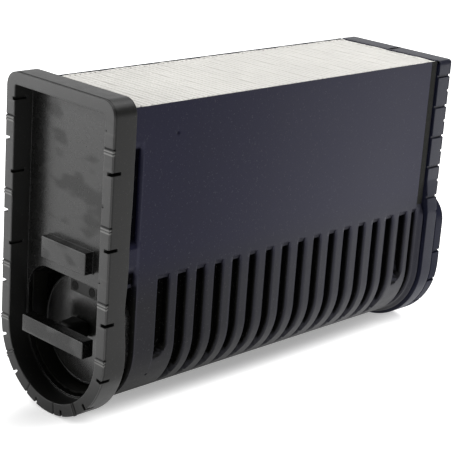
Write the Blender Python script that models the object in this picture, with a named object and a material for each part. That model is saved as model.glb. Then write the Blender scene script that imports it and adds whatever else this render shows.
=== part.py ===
"""Engine air-filter insert: a trough-shaped housing that holds a block of pleated paper.

Air enters the paper from the open top, leaves it into the half-round channel underneath and goes out through
the D-shaped outlet at the rear.  The front end carries a moulded rim with a recessed plate, a locating bar and
a grip bar that stands in front of a finger cup; the rear end carries a soft seal.

Frame: metres, +Z up.  The insert's length runs along X from the front face to the outlet, and the origin is the
middle of the bounding box at its lowest level.  The shapes below are drawn with x measured from the front face
and are placed by one parent empty.
"""

import itertools
import math

import bmesh
import bpy
from mathutils import Vector

# ---------------------------------------------------------------- driving dimensions (metres)
GAP = 0.0003  # clearance between pieces that touch
CUT_PAST = 0.0009  # how far a cutter runs past the surface that it opens

LENGTH = 0.470  # front face to the rear seal's face
FRAME_WIDTH = 0.148  # the round bottoms have half of this as their radius
FRAME_HEIGHT = 0.310

# front rim
RIM_DEPTH = 0.0263
RIM_WALL = 0.0120
RIM_TOP_WALL = 0.0130
RIM_CORNER = 0.0140
RIM_INNER_CORNER = 0.0040
RIM_EDGE = 0.0010  # chamfer round the front face
RIM_REBATE_WALL = 0.0057
RIM_REBATE_TOP = 0.0082
SLIT_WIDTH = 0.0028
SLIT_PITCH = 0.0690
LOWEST_SLIT_ABOVE_AXIS = 0.0230
FIRST_OUTER_SLIT = 0.0630  # below the rim's top
FIRST_INNER_SLIT = 0.0250
OUTER_SLIT_DEPTH = 0.0060
OUTER_SLIT_LENGTH = 0.0105
INNER_SLIT_DEPTH = 0.0030
INNER_SLIT_LENGTH = 0.0140
ARC_SLIT_ANGLES = (15.0, 45.0, 75.0, 105.0, 135.0, 165.0)

# front plate, finger cup and drum
PLATE_FACE = 0.0205
PLATE_THICKNESS = 0.0030
CUP_WALL = 0.0020
CUP_TOP_ABOVE_AXIS = 0.0550
CUP_CORNER = 0.0270
CUP_FLOOR = 0.0590
DRUM_FACE = 0.0370
DRUM_WALL = 0.0025
DRUM_GROOVE = 0.0075  # between the drum and the cup's wall

# bars on the front
LOCATING_BAR_FACE = 0.0108
LOCATING_BAR_WIDTH = 0.0628
LOCATING_BAR_HEIGHT = 0.0208
LOCATING_BAR_ABOVE_CUP = 0.0135
GRIP_FACE = 0.0010
GRIP_THICKNESS = 0.0130
GRIP_WIDTH = 0.0890
GRIP_HEIGHT = 0.0180
GRIP_ABOVE_AXIS = 0.0027
PILLAR_WIDTH = 0.0160
PILLAR_ROOT_WIDTH = 0.0280
BAR_EDGE = 0.0006

# housing
HOUSING_INSET = 0.0069  # from the rim's side
HOUSING_WALL = 0.0020
HOUSING_TOP_BELOW_RIM = 0.0094
CUP_TO_GROOVE = 0.0077
GROOVE_WIDTH = 0.0115
RIB_WIDTH = 0.01144
LAST_GROOVE_WIDTH = 0.0060
GROOVE_DEPTH = 0.0080
GROOVE_DRAFT = 0.0008
GROOVE_TOP_ABOVE_AXIS = 0.0670
GROOVE_RAMP = 0.0060
GROOVE_END_ANGLE = 66.0
GROOVE_END_FADE = 7.5
SHORT_GROOVE_END_ANGLE = 12.0
POCKET_DEPTH = 0.0028
POCKET_LENGTH = 0.0180
POCKET_CHAMFER = 0.0030
UPPER_POCKET_BELOW_RIM = 0.0420
UPPER_POCKET_ABOVE_AXIS = 0.0980
LOWER_POCKET_ABOVE_AXIS = 0.0810
POCKET_END_RAMP = 0.0080
STRIP_DEPTH = 0.0010
STRIP_LENGTH = 0.0090
STRIP_FOOT_ABOVE_AXIS = 0.0710
STRIP_STEP_ABOVE_AXIS = 0.1140
STRIP_STEP = 0.0025
STRIP_BELOW_WALL = 0.0001

# pleated paper and what holds it
PLEAT_PITCH = 0.00617
PLEAT_TIP = 0.0006
PAPER = 0.0006
PACK_FRONT = 0.0310
PACK_BELOW_HOUSING_TOP = 0.0026
LEDGE_GAP = 0.0006
EDGE_STRIP = 0.0026
THREAD_COUNT = 5
THREAD_SPACING = 0.0200
THREAD_WIDTH = 0.0030
THREAD_HEIGHT = 0.0014
CROSS_BARS = 3
CROSS_BAR_PLAY = 0.0015  # to the groove's wall on each side
CROSS_BAR_HEIGHT = 0.0080

# rear end
REAR_PLATE = 0.0027
REAR_PLATE_INSET = 0.0020  # from the housing's side
REAR_SEAL_THICKNESS = 0.0164
REAR_SEAL_INSET = 0.0052  # from the rim's side, beside the paper
REAR_CORNER = 0.0025
FLARE_TOP_ABOVE_AXIS = 0.0960
FLARE_FOOT_ABOVE_AXIS = 0.0610
COLLAR_LENGTH = 0.0140
COLLAR_TOP_ABOVE_AXIS = 0.0760
COLLAR_CORNER = 0.0290
COLLAR_WALL = 0.0140
COLLAR_TAPER = 0.0020
SPIGOT_WALL = 0.0030
SPIGOT_SETBACK = 0.0030
SEAL_GROOVE_WIDTH = 0.0018
SEAL_GROOVE_DEPTH = 0.0022
SEAL_GROOVE_PITCH = 0.0325
SEAL_FIRST_GROOVE = 0.0240  # below the rim's top
COLLAR_GROOVE_ANGLES = (-14.0, 12.0, 38.0, 64.0, 90.0)

# resolution of the round stretches
CORNER_STEPS = 4
ARC_STEPS = 24

# ---------------------------------------------------------------- derived places
TOP = FRAME_HEIGHT
AXIS = FRAME_WIDTH / 2  # height of the round bottoms' common centre
RIM_HALF = FRAME_WIDTH / 2
RIM_INNER_HALF = RIM_HALF - RIM_WALL
REAR_SEAL_FRONT = LENGTH - REAR_SEAL_THICKNESS
REAR_SEAL_HALF_WIDTH = RIM_HALF - REAR_SEAL_INSET
HOUSING_FRONT = PLATE_FACE + PLATE_THICKNESS + GAP
HOUSING_REAR = REAR_SEAL_FRONT - GAP - REAR_PLATE - GAP
HOUSING_TOP = TOP - HOUSING_TOP_BELOW_RIM
HOUSING_HALF_WIDTH = RIM_HALF - HOUSING_INSET
HOUSING_INNER = HOUSING_HALF_WIDTH - HOUSING_WALL
GROOVE_TOP = AXIS + GROOVE_TOP_ABOVE_AXIS
GROOVE_PITCH = GROOVE_WIDTH + RIB_WIDTH
GROOVE_FIRST = CUP_FLOOR + CUP_WALL + HOUSING_WALL + CUP_TO_GROOVE
GROOVE_COUNT = 1 + int((HOUSING_REAR - GROOVE_FIRST - LAST_GROOVE_WIDTH - HOUSING_WALL) / GROOVE_PITCH)
SHORT_GROOVES = (0, GROOVE_COUNT - 2)
CUP_HALF_WIDTH = HOUSING_INNER - POCKET_DEPTH - GAP - CUP_WALL
CUP_TOP = AXIS + CUP_TOP_ABOVE_AXIS
DRUM_RADIUS = CUP_HALF_WIDTH - DRUM_GROOVE
PACK_TOP = HOUSING_TOP - PACK_BELOW_HOUSING_TOP
PACK_BOTTOM = GROOVE_TOP + LEDGE_GAP
PACK_HALF = HOUSING_INNER - GAP - EDGE_STRIP - GAP
PLEATS = int((HOUSING_REAR - PACK_FRONT - 2 * GAP) / PLEAT_PITCH)
PACK_REAR = PACK_FRONT + PLEATS * PLEAT_PITCH
COLLAR_REAR = LENGTH + COLLAR_LENGTH
COLLAR_TOP = AXIS + COLLAR_TOP_ABOVE_AXIS
FLARE_TOP = AXIS + FLARE_TOP_ABOVE_AXIS
FLARE_FOOT = AXIS + FLARE_FOOT_ABOVE_AXIS
OUTLET_HALF = RIM_HALF - COLLAR_WALL - GAP - SPIGOT_WALL
OUTLET_TOP = COLLAR_TOP - COLLAR_WALL - GAP - SPIGOT_WALL
OUTLET_CORNER = COLLAR_CORNER - COLLAR_WALL - GAP - SPIGOT_WALL


# ---------------------------------------------------------------- outlines in the YZ plane
def arc(centre, radius, start, end, steps):
    """Points on a circle from one angle to another, in degrees from +Y towards +Z."""
    points = []
    for step in range(steps + 1):
        angle = math.radians(start + (end - start) * step / steps)
        points.append((centre[0] + radius * math.cos(angle), centre[1] + radius * math.sin(angle)))
    return points


def d_outline(half_width, top, corner):
    """A flat-topped outline with straight sides and a round bottom about the common axis."""
    right = arc((half_width - corner, top - corner), corner, 90, 0, CORNER_STEPS)
    bottom = arc((0, AXIS), half_width, 0, -180, ARC_STEPS)
    left = [(-y, z) for y, z in reversed(right)]
    return right + bottom + left


def flared_outline():
    """The rear seal's outline: narrow beside the paper, flaring out to the collar's round bottom."""
    right = arc((REAR_SEAL_HALF_WIDTH - REAR_CORNER, HOUSING_TOP - REAR_CORNER), REAR_CORNER, 90, 0, 2)
    right += [(REAR_SEAL_HALF_WIDTH, FLARE_TOP), (RIM_HALF, FLARE_FOOT)]
    left = [(-y, z) for y, z in reversed(right)]
    return right + arc((0, AXIS), RIM_HALF, 0, -180, ARC_STEPS) + left


# ---------------------------------------------------------------- mesh helpers
# The faces of a box whose eight corners are listed with x changing slowest and z fastest.
BOX_FACES = ((0, 1, 3, 2), (4, 6, 7, 5), (0, 4, 5, 1), (2, 3, 7, 6), (0, 2, 6, 4), (1, 5, 7, 3))


def clear_scene():
    for obj in list(bpy.data.objects):
        bpy.data.objects.remove(obj, do_unlink=True)


def plastic(name, colour, roughness):
    material = bpy.data.materials.new(name)
    material.use_nodes = True
    shader = material.node_tree.nodes["Principled BSDF"]
    shader.inputs["Base Color"].default_value = (*colour, 1.0)
    shader.inputs["Roughness"].default_value = roughness
    shader.inputs["Metallic"].default_value = 0.0
    material.diffuse_color = (*colour, 1.0)
    return material


def add_object(name, mesh_builder, material):
    """Turns a finished bmesh into an object that hangs on the insert's parent empty."""
    bmesh.ops.recalc_face_normals(mesh_builder, faces=mesh_builder.faces[:])
    mesh = bpy.data.meshes.new(name)
    mesh_builder.to_mesh(mesh)
    mesh_builder.free()
    mesh.shade_smooth()
    mesh.set_sharp_from_angle(angle=math.radians(30))
    obj = bpy.data.objects.new(name, mesh)
    bpy.context.scene.collection.objects.link(obj)
    obj.parent = bpy.data.objects["insert"]
    if material is not None:
        mesh.materials.append(material)
    return obj


def loft(mesh_builder, loops, closed):
    """Skins a list of (x, outline) loops; closed joins the last loop to the first, otherwise both ends are capped."""
    rings = [[mesh_builder.verts.new((x, y, z)) for y, z in outline] for x, outline in loops]
    count = len(rings[0])
    pairs = list(zip(rings, rings[1:]))
    if closed:
        pairs.append((rings[-1], rings[0]))
    else:
        mesh_builder.faces.new(rings[0])
        mesh_builder.faces.new(list(reversed(rings[-1])))
    for first, second in pairs:
        for i in range(count):
            j = (i + 1) % count
            mesh_builder.faces.new((first[i], first[j], second[j], second[i]))


def lofted(name, loops, material, closed=False):
    mesh_builder = bmesh.new()
    loft(mesh_builder, loops, closed)
    return add_object(name, mesh_builder, material)


def add_box(mesh_builder, low, high):
    places = itertools.product(*zip(low, high))
    corners = [mesh_builder.verts.new(place) for place in places]
    for face in BOX_FACES:
        mesh_builder.faces.new([corners[i] for i in face])


def box(name, low, high, material, edge=0.0):
    mesh_builder = bmesh.new()
    add_box(mesh_builder, low, high)
    if edge:
        bmesh.ops.bevel(
            mesh_builder, geom=mesh_builder.edges[:], offset=edge, segments=1, affect="EDGES", clamp_overlap=True
        )
    return add_object(name, mesh_builder, material)


def radial_box(mesh_builder, x_range, centre, angle, reach, width):
    """A box whose long way points along `angle` in the YZ plane, from reach[0] to reach[1] out of `centre`."""
    out = Vector((0, math.cos(math.radians(angle)), math.sin(math.radians(angle))))
    side = Vector((0, -out.z, out.y)) * width / 2
    base = Vector((0, *centre))
    corners = []
    for x in x_range:
        for distance in reach:
            for sign in (-1, 1):
                corners.append(mesh_builder.verts.new(Vector((x, 0, 0)) + base + out * distance + side * sign))
    for face in BOX_FACES:
        mesh_builder.faces.new([corners[i] for i in face])


def cut(target, name, mesh_builder):
    """Subtracts a finished bmesh of closed bodies from an object."""
    cutter = add_object(name, mesh_builder, None)
    cutter.hide_render = True
    cutter.display_type = "WIRE"
    modifier = target.modifiers.new("cut", "BOOLEAN")
    modifier.operation = "DIFFERENCE"
    modifier.solver = "EXACT"
    modifier.object = cutter


# ---------------------------------------------------------------- front end
def side_slit_frames(first_below_top):
    """Centre and direction of the slits in the two straight sides."""
    height = TOP - first_below_top
    while height > AXIS + LOWEST_SLIT_ABOVE_AXIS:
        yield (0, height), 0
        yield (0, height), 180
        height -= SLIT_PITCH


def build_front_rim(material):
    outer = d_outline(RIM_HALF, TOP, RIM_CORNER)
    outer_front = d_outline(RIM_HALF - RIM_EDGE, TOP - RIM_EDGE, RIM_CORNER - RIM_EDGE)
    inner = d_outline(RIM_INNER_HALF, TOP - RIM_TOP_WALL, RIM_INNER_CORNER)
    inner_front = d_outline(RIM_INNER_HALF + RIM_EDGE, TOP - RIM_TOP_WALL + RIM_EDGE, RIM_INNER_CORNER + RIM_EDGE)
    rebate = d_outline(RIM_HALF - RIM_REBATE_WALL, TOP - RIM_REBATE_TOP, RIM_INNER_CORNER)
    shelf = PLATE_FACE - GAP
    loops = [(RIM_EDGE, outer), (RIM_DEPTH, outer), (RIM_DEPTH, rebate), (shelf, rebate), (shelf, inner)]
    loops += [(RIM_EDGE, inner), (0, inner_front), (0, outer_front)]
    rim = lofted("front_rim", loops, material, closed=True)

    slits = bmesh.new()
    outer_reach = (RIM_HALF - OUTER_SLIT_DEPTH, RIM_HALF + CUT_PAST)
    for centre, angle in side_slit_frames(FIRST_OUTER_SLIT):
        radial_box(slits, (-RIM_EDGE, OUTER_SLIT_LENGTH), centre, angle, outer_reach, SLIT_WIDTH)
    for angle in ARC_SLIT_ANGLES:
        radial_box(slits, (-RIM_EDGE, OUTER_SLIT_LENGTH), (0, AXIS), -angle, outer_reach, SLIT_WIDTH)
    inner_reach = (RIM_INNER_HALF - RIM_EDGE, RIM_INNER_HALF + INNER_SLIT_DEPTH)
    for centre, angle in side_slit_frames(FIRST_INNER_SLIT):
        radial_box(slits, (-RIM_EDGE, INNER_SLIT_LENGTH), centre, angle, inner_reach, SLIT_WIDTH)
    cut(rim, "rim_slits", slits)


def cup_outline(extra=0.0):
    return d_outline(CUP_HALF_WIDTH + extra, CUP_TOP + extra, CUP_CORNER + extra)


def build_front_plate(material):
    """The recessed plate and the finger cup, one moulding like a pan."""
    plate = d_outline(RIM_HALF - RIM_REBATE_WALL - GAP, TOP - RIM_REBATE_TOP - GAP, RIM_INNER_CORNER - GAP)
    back = PLATE_FACE + PLATE_THICKNESS
    loops = [(CUP_FLOOR, cup_outline()), (PLATE_FACE, cup_outline()), (PLATE_FACE, plate), (back, plate)]
    loops += [(back, cup_outline(CUP_WALL)), (CUP_FLOOR + CUP_WALL, cup_outline(CUP_WALL))]
    lofted("front_plate", loops, material)


def build_drum(material):
    """The round boss in the cup, hollow behind its face."""
    outside = arc((0, AXIS), DRUM_RADIUS, 0, 360 - 360 / (2 * ARC_STEPS), 2 * ARC_STEPS - 1)
    scale = (DRUM_RADIUS - DRUM_WALL) / DRUM_RADIUS
    inside = [(y * scale, AXIS + (z - AXIS) * scale) for y, z in outside]
    rear = CUP_FLOOR - GAP
    loops = [(DRUM_FACE, outside), (rear, outside), (rear, inside), (DRUM_FACE + DRUM_WALL, inside)]
    lofted("cup_drum", loops, material)


def build_front_bars(material):
    low = CUP_TOP + LOCATING_BAR_ABOVE_CUP
    high = low + LOCATING_BAR_HEIGHT
    half = LOCATING_BAR_WIDTH / 2
    box("locating_bar", (LOCATING_BAR_FACE, -half, low), (PLATE_FACE - GAP, half, high), material, BAR_EDGE)
    low = AXIS + GRIP_ABOVE_AXIS - GRIP_HEIGHT / 2
    high = low + GRIP_HEIGHT
    half = GRIP_WIDTH / 2
    box("grip_bar", (GRIP_FACE, -half, low), (GRIP_FACE + GRIP_THICKNESS, half, high), material, BAR_EDGE)
    tip = GRIP_FACE + GRIP_THICKNESS + GAP
    root = DRUM_FACE - GAP

    def section(width):
        return [(width / 2, low), (width / 2, high), (-width / 2, high), (-width / 2, low)]

    lofted("grip_pillar", [(tip, section(PILLAR_WIDTH)), (root, section(PILLAR_ROOT_WIDTH))], material)


# ---------------------------------------------------------------- housing
def ramp(value, start, end):
    """0 before start, 1 after end, linear between; start may be the larger one."""
    return min(1.0, max(0.0, (value - start) / (end - start)))


def groove_ranges():
    for number in range(GROOVE_COUNT):
        left = GROOVE_FIRST + number * GROOVE_PITCH
        width = LAST_GROOVE_WIDTH if number == GROOVE_COUNT - 1 else GROOVE_WIDTH
        yield number, left, left + width


def housing_stations():
    """Stations down one side and round to the bottom: (height, angle), where one of the two says the place."""
    pocket_top, pocket_bottom = TOP - UPPER_POCKET_BELOW_RIM, AXIS + UPPER_POCKET_ABOVE_AXIS
    heights = {
        HOUSING_TOP,
        pocket_top,
        pocket_top - POCKET_END_RAMP,
        pocket_bottom + POCKET_END_RAMP,
        pocket_bottom,
        AXIS + LOWER_POCKET_ABOVE_AXIS,
        AXIS + LOWER_POCKET_ABOVE_AXIS - POCKET_END_RAMP,
        AXIS + STRIP_FOOT_ABOVE_AXIS,
        AXIS + STRIP_FOOT_ABOVE_AXIS + GAP,
        GROOVE_TOP,
        GROOVE_TOP - GROOVE_RAMP,
        AXIS,
    }
    stations = [(height, 0.0) for height in sorted(heights, reverse=True)]
    angles = {90.0 * step / (ARC_STEPS // 2) for step in range(1, ARC_STEPS // 2 + 1)}
    angles |= {SHORT_GROOVE_END_ANGLE, GROOVE_END_ANGLE}
    return stations + [(AXIS, angle) for angle in sorted(angles)]


def recess_depth(x, height, angle, margin):
    """How far the wall is pressed in at a place; margin widens each recess along X for the inner surface."""
    depth = 0.0
    for number, left, right in groove_ranges():
        rise = ramp(x, left - margin, left - margin + GROOVE_DRAFT)
        fall = ramp(x, right + margin, right + margin - GROOVE_DRAFT)
        end = SHORT_GROOVE_END_ANGLE if number in SHORT_GROOVES else GROOVE_END_ANGLE
        along = ramp(height, GROOVE_TOP, GROOVE_TOP - GROOVE_RAMP) * ramp(angle, end, end - GROOVE_END_FADE)
        depth = max(depth, GROOVE_DEPTH * min(rise, fall) * along)
    pocket_end = HOUSING_FRONT + POCKET_LENGTH + margin
    across = ramp(x, pocket_end, pocket_end - POCKET_CHAMFER)
    above_axis, below_rim = height - AXIS, TOP - height
    upper = min(
        ramp(below_rim, UPPER_POCKET_BELOW_RIM, UPPER_POCKET_BELOW_RIM + POCKET_END_RAMP),
        ramp(above_axis, UPPER_POCKET_ABOVE_AXIS, UPPER_POCKET_ABOVE_AXIS + POCKET_END_RAMP),
    )
    lower = ramp(above_axis, LOWER_POCKET_ABOVE_AXIS, LOWER_POCKET_ABOVE_AXIS - POCKET_END_RAMP)
    return max(depth, POCKET_DEPTH * across * max(upper, lower))


def housing_breaks():
    """Every x at which the wall's shape changes, on either surface."""
    places = {HOUSING_FRONT, HOUSING_REAR, HOUSING_REAR - STRIP_LENGTH}
    for margin in (0.0, HOUSING_WALL):
        pocket_end = HOUSING_FRONT + POCKET_LENGTH + margin
        places |= {pocket_end, pocket_end - POCKET_CHAMFER}
        for _, left, right in groove_ranges():
            places |= {left - margin, left - margin + GROOVE_DRAFT, right + margin - GROOVE_DRAFT, right + margin}
    return sorted(place for place in places if place <= HOUSING_REAR)


def housing_surface(mesh_builder, xs, stations, margin, thickness):
    """One face of the wall as rows of vertices, from the near top edge round the bottom to the far top edge."""
    rows = []
    for x in xs:
        half = []
        for height, angle in stations:
            radius = HOUSING_HALF_WIDTH - thickness - recess_depth(x, height, angle, margin)
            turn = math.radians(angle)
            half.append((radius * math.cos(turn), height - radius * math.sin(turn)))
        near = [mesh_builder.verts.new((x, -y, z)) for y, z in half]
        far = [mesh_builder.verts.new((x, y, z)) for y, z in reversed(half[:-1])]
        rows.append(near + far)
    return rows


def build_housing(material):
    xs, stations = housing_breaks(), housing_stations()
    mesh_builder = bmesh.new()
    outer = housing_surface(mesh_builder, xs, stations, 0.0, 0.0)
    inner = housing_surface(mesh_builder, xs, stations, HOUSING_WALL, HOUSING_WALL)
    for rows in (outer, inner):
        for row, following in zip(rows, rows[1:]):
            for i in range(len(row) - 1):
                mesh_builder.faces.new((row[i], row[i + 1], following[i + 1], following[i]))
    for i in (0, -1):
        for row in range(len(xs) - 1):
            mesh_builder.faces.new((outer[row][i], outer[row + 1][i], inner[row + 1][i], inner[row][i]))
    for end in (0, -1):
        for i in range(len(outer[0]) - 1):
            mesh_builder.faces.new((outer[end][i], outer[end][i + 1], inner[end][i + 1], inner[end][i]))
    bmesh.ops.dissolve_limit(
        mesh_builder, angle_limit=math.radians(0.05), verts=mesh_builder.verts[:], edges=mesh_builder.edges[:]
    )
    bmesh.ops.triangulate(mesh_builder, faces=mesh_builder.faces[:])
    housing = add_object("housing", mesh_builder, material)

    recesses = bmesh.new()
    foot = AXIS + STRIP_FOOT_ABOVE_AXIS
    for side in (-1, 1):
        low, high = sorted((side * (HOUSING_HALF_WIDTH - STRIP_DEPTH), side * (HOUSING_HALF_WIDTH + GAP)))
        add_box(recesses, (HOUSING_REAR - STRIP_LENGTH, low, foot), (HOUSING_REAR + GAP, high, TOP))
    cut(housing, "strip_recesses", recesses)


def build_sealant_strips(material):
    """A strip of sealant in each shallow recess at the housing's rear edge, wider at its foot."""
    rear, foot = HOUSING_REAR - GAP, AXIS + STRIP_FOOT_ABOVE_AXIS + GAP
    wide, step = HOUSING_REAR - STRIP_LENGTH + GAP, AXIS + STRIP_STEP_ABOVE_AXIS
    narrow = wide + STRIP_STEP
    profile = [(rear, foot), (rear, HOUSING_TOP - GAP), (narrow, HOUSING_TOP - GAP), (narrow, step + STRIP_STEP)]
    profile += [(wide, step), (wide, foot)]
    for side, word in ((-1, "near"), (1, "far")):
        inside = side * (HOUSING_HALF_WIDTH - STRIP_DEPTH + GAP)
        outside = side * (HOUSING_HALF_WIDTH - STRIP_BELOW_WALL)
        extruded(f"sealant_strip_{word}", profile, inside, outside, material)


def extruded(name, profile, y_from, y_to, material):
    """An XZ outline pulled along Y."""
    mesh_builder = bmesh.new()
    first = [mesh_builder.verts.new((x, y_from, z)) for x, z in profile]
    second = [mesh_builder.verts.new((x, y_to, z)) for x, z in profile]
    mesh_builder.faces.new(first)
    mesh_builder.faces.new(list(reversed(second)))
    for i in range(len(profile)):
        j = (i + 1) % len(profile)
        mesh_builder.faces.new((first[i], second[i], second[j], first[j]))
    return add_object(name, mesh_builder, material)


# ---------------------------------------------------------------- pleated paper
def pleat_profile():
    """The closed zigzag section of the folded sheet: its upper side, then its lower side the other way."""
    upper, lower = [], []
    tip = PLEAT_TIP / 2
    for number in range(PLEATS):
        start = PACK_FRONT + number * PLEAT_PITCH
        peak, end = start + PLEAT_PITCH / 2, start + PLEAT_PITCH
        upper += [(start + tip, PACK_BOTTOM + PAPER), (peak - tip, PACK_TOP)]
        upper += [(peak + tip, PACK_TOP), (end - tip, PACK_BOTTOM + PAPER)]
        lower += [(start + tip + PAPER, PACK_BOTTOM), (peak - tip + PAPER / 2, PACK_TOP - PAPER)]
        lower += [(peak + tip - PAPER / 2, PACK_TOP - PAPER), (end - tip - PAPER, PACK_BOTTOM)]
    return upper + list(reversed(lower))


def build_pack(paper, sealant):
    extruded("pleat_pack", pleat_profile(), -PACK_HALF, PACK_HALF, paper)
    front = HOUSING_FRONT + POCKET_LENGTH + HOUSING_WALL + GAP
    rear = HOUSING_REAR
    for side, word in ((-1, "near"), (1, "far")):
        low, high = sorted((side * (PACK_HALF + GAP), side * (PACK_HALF + GAP + EDGE_STRIP)))
        box(f"pack_edge_{word}", (front, low, PACK_BOTTOM), (rear, high, PACK_TOP), sealant)
    half = PACK_HALF
    box("potting_front", (HOUSING_FRONT, -half, PACK_BOTTOM), (PACK_FRONT - GAP, half, PACK_TOP), sealant)
    box("potting_rear", (PACK_REAR + GAP, -half, PACK_BOTTOM), (rear, half, PACK_TOP), sealant)
    thread_top = PACK_BOTTOM - GAP
    for number in range(THREAD_COUNT):
        y = (number - (THREAD_COUNT - 1) / 2) * THREAD_SPACING
        low = (PACK_FRONT, y - THREAD_WIDTH / 2, thread_top - THREAD_HEIGHT)
        box(f"spacer_thread_{number + 1}", low, (PACK_REAR, y + THREAD_WIDTH / 2, thread_top), sealant)


def build_cross_bars(material):
    """Bars under the paper that tie the two walls together, each inside a rib of the housing."""
    top = PACK_BOTTOM - GAP - THREAD_HEIGHT - GAP
    half = HOUSING_INNER - GAP
    inset = HOUSING_WALL + CROSS_BAR_PLAY
    for number in range(CROSS_BARS):
        rib = GROOVE_COUNT * (number + 1) // (CROSS_BARS + 1)
        rib_end = GROOVE_FIRST + (rib + 1) * GROOVE_PITCH
        low = (rib_end - RIB_WIDTH + inset, -half, top - CROSS_BAR_HEIGHT)
        box(f"cross_bar_{number + 1}", low, (rib_end - inset, half, top), material)


# ---------------------------------------------------------------- rear end
def outlet_outline(extra=0.0):
    return d_outline(OUTLET_HALF + extra, OUTLET_TOP + extra, OUTLET_CORNER + extra)


def build_rear_plate(material):
    """The plate that closes the housing's rear, with the outlet's spigot moulded on it."""
    outline = d_outline(HOUSING_HALF_WIDTH - REAR_PLATE_INSET, HOUSING_TOP, REAR_CORNER)
    front = HOUSING_REAR + GAP
    back = front + REAR_PLATE
    spigot_end = COLLAR_REAR - SPIGOT_SETBACK
    outer, inner = outlet_outline(SPIGOT_WALL), outlet_outline()
    loops = [(front, outline), (back, outline), (back, outer), (spigot_end, outer), (spigot_end, inner), (front, inner)]
    lofted("rear_plate", loops, material, closed=True)


def build_rear_seal(material):
    outline = flared_outline()
    seal = lofted("rear_seal", [(REAR_SEAL_FRONT, outline), (LENGTH, outline)], material)
    cutters = bmesh.new()
    opening = outlet_outline(SPIGOT_WALL + GAP)
    loft(cutters, [(REAR_SEAL_FRONT - REAR_PLATE, opening), (LENGTH + REAR_PLATE, opening)], False)
    ends = (REAR_SEAL_FRONT - GAP, LENGTH + GAP)
    height = TOP - SEAL_FIRST_GROOVE
    while height > COLLAR_TOP:
        half = REAR_SEAL_HALF_WIDTH + REAR_SEAL_INSET * ramp(height, FLARE_TOP, FLARE_FOOT)
        reach = (half - SEAL_GROOVE_DEPTH, half + SEAL_GROOVE_DEPTH)
        for angle in (0, 180):
            radial_box(cutters, ends, (0, height), angle, reach, SEAL_GROOVE_WIDTH)
        height -= SEAL_GROOVE_PITCH
    cut(seal, "rear_seal_cuts", cutters)


def build_collar(material):
    outer = d_outline(RIM_HALF, COLLAR_TOP, COLLAR_CORNER)
    tip = d_outline(RIM_HALF - COLLAR_TAPER, COLLAR_TOP - COLLAR_TAPER, COLLAR_CORNER - COLLAR_TAPER)
    inner = outlet_outline(SPIGOT_WALL + GAP)
    front = LENGTH + GAP
    knee = COLLAR_REAR - COLLAR_TAPER
    loops = [(front, outer), (knee, outer), (COLLAR_REAR, tip), (COLLAR_REAR, inner), (front, inner)]
    collar = lofted("outlet_collar", loops, material, closed=True)
    grooves = bmesh.new()
    reach = (RIM_HALF - SEAL_GROOVE_DEPTH, RIM_HALF + SEAL_GROOVE_DEPTH)
    for angle in COLLAR_GROOVE_ANGLES:
        for turned in {-angle, angle - 180}:
            centre = (0, AXIS) if angle >= 0 else (0, AXIS + RIM_HALF * math.sin(math.radians(-angle)))
            direction = turned if angle >= 0 else (0 if turned == -angle else 180)
            radial_box(grooves, (LENGTH + GAP / 2, COLLAR_REAR + GAP), centre, direction, reach, SEAL_GROOVE_WIDTH)
    cut(collar, "collar_grooves", grooves)


def main():
    clear_scene()
    insert = bpy.data.objects.new("insert", None)
    insert.location = (-COLLAR_REAR / 2, 0, 0)
    bpy.context.scene.collection.objects.link(insert)

    frame = plastic("frame_polyurethane", (0.095, 0.095, 0.10), 0.55)
    front = plastic("front_plastic", (0.085, 0.085, 0.088), 0.5)
    shell = plastic("housing_plastic", (0.045, 0.045, 0.058), 0.45)
    seal = plastic("seal_polyurethane", (0.05, 0.05, 0.062), 0.6)
    paper = plastic("filter_paper", (0.78, 0.77, 0.72), 0.9)
    sealant = plastic("sealant", (0.55, 0.54, 0.50), 0.6)
    band = plastic("edge_sealant", (0.045, 0.042, 0.032), 0.5)

    build_front_rim(frame)
    build_front_plate(front)
    build_drum(front)
    build_front_bars(front)
    build_housing(shell)
    build_sealant_strips(band)
    build_pack(paper, sealant)
    build_cross_bars(shell)
    build_rear_plate(shell)
    build_rear_seal(seal)
    build_collar(seal)


main()
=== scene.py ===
"""Looks of the engine air-filter insert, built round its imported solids.

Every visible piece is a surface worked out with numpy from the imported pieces' boxes: outlines round the
insert, profiles that are carried along them, and a trough whose grooves are pressed in by a formula.
The finishes are procedural.  Lengths are metres, and X runs from the front rim to the outlet.
"""

from __future__ import annotations

import logging
import math
from dataclasses import dataclass
from enum import Enum

import bmesh
import bpy
import numpy as np
from mathutils import Matrix, Vector

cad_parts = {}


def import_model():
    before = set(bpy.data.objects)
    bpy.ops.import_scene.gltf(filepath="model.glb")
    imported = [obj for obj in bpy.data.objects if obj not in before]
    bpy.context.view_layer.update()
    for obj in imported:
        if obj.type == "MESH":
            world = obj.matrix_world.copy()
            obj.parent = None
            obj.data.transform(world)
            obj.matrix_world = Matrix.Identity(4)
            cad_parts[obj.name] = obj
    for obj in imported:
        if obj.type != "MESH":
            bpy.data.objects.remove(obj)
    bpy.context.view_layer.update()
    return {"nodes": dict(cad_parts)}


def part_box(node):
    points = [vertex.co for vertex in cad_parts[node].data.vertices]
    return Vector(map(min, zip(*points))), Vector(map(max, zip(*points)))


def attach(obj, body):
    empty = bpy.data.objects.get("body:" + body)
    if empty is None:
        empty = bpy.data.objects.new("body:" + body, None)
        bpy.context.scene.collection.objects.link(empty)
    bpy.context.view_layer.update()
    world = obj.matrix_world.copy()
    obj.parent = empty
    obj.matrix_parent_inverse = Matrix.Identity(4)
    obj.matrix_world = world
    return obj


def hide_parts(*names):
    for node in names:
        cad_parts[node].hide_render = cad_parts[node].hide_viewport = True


LOG = logging.getLogger("insert")
MM = 0.001
# Name of the mesh layer of painted light: painted highlights above 0, painted shade below 0.
PAINTED_LIGHT = "painted_light"
TINY = 1e-9
APART = 0.02 * MM
Array = np.ndarray
Pair = tuple[float, float]
Triple = tuple[float, float, float]
Colour = Triple
Humps = tuple[Triple, ...]
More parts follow.
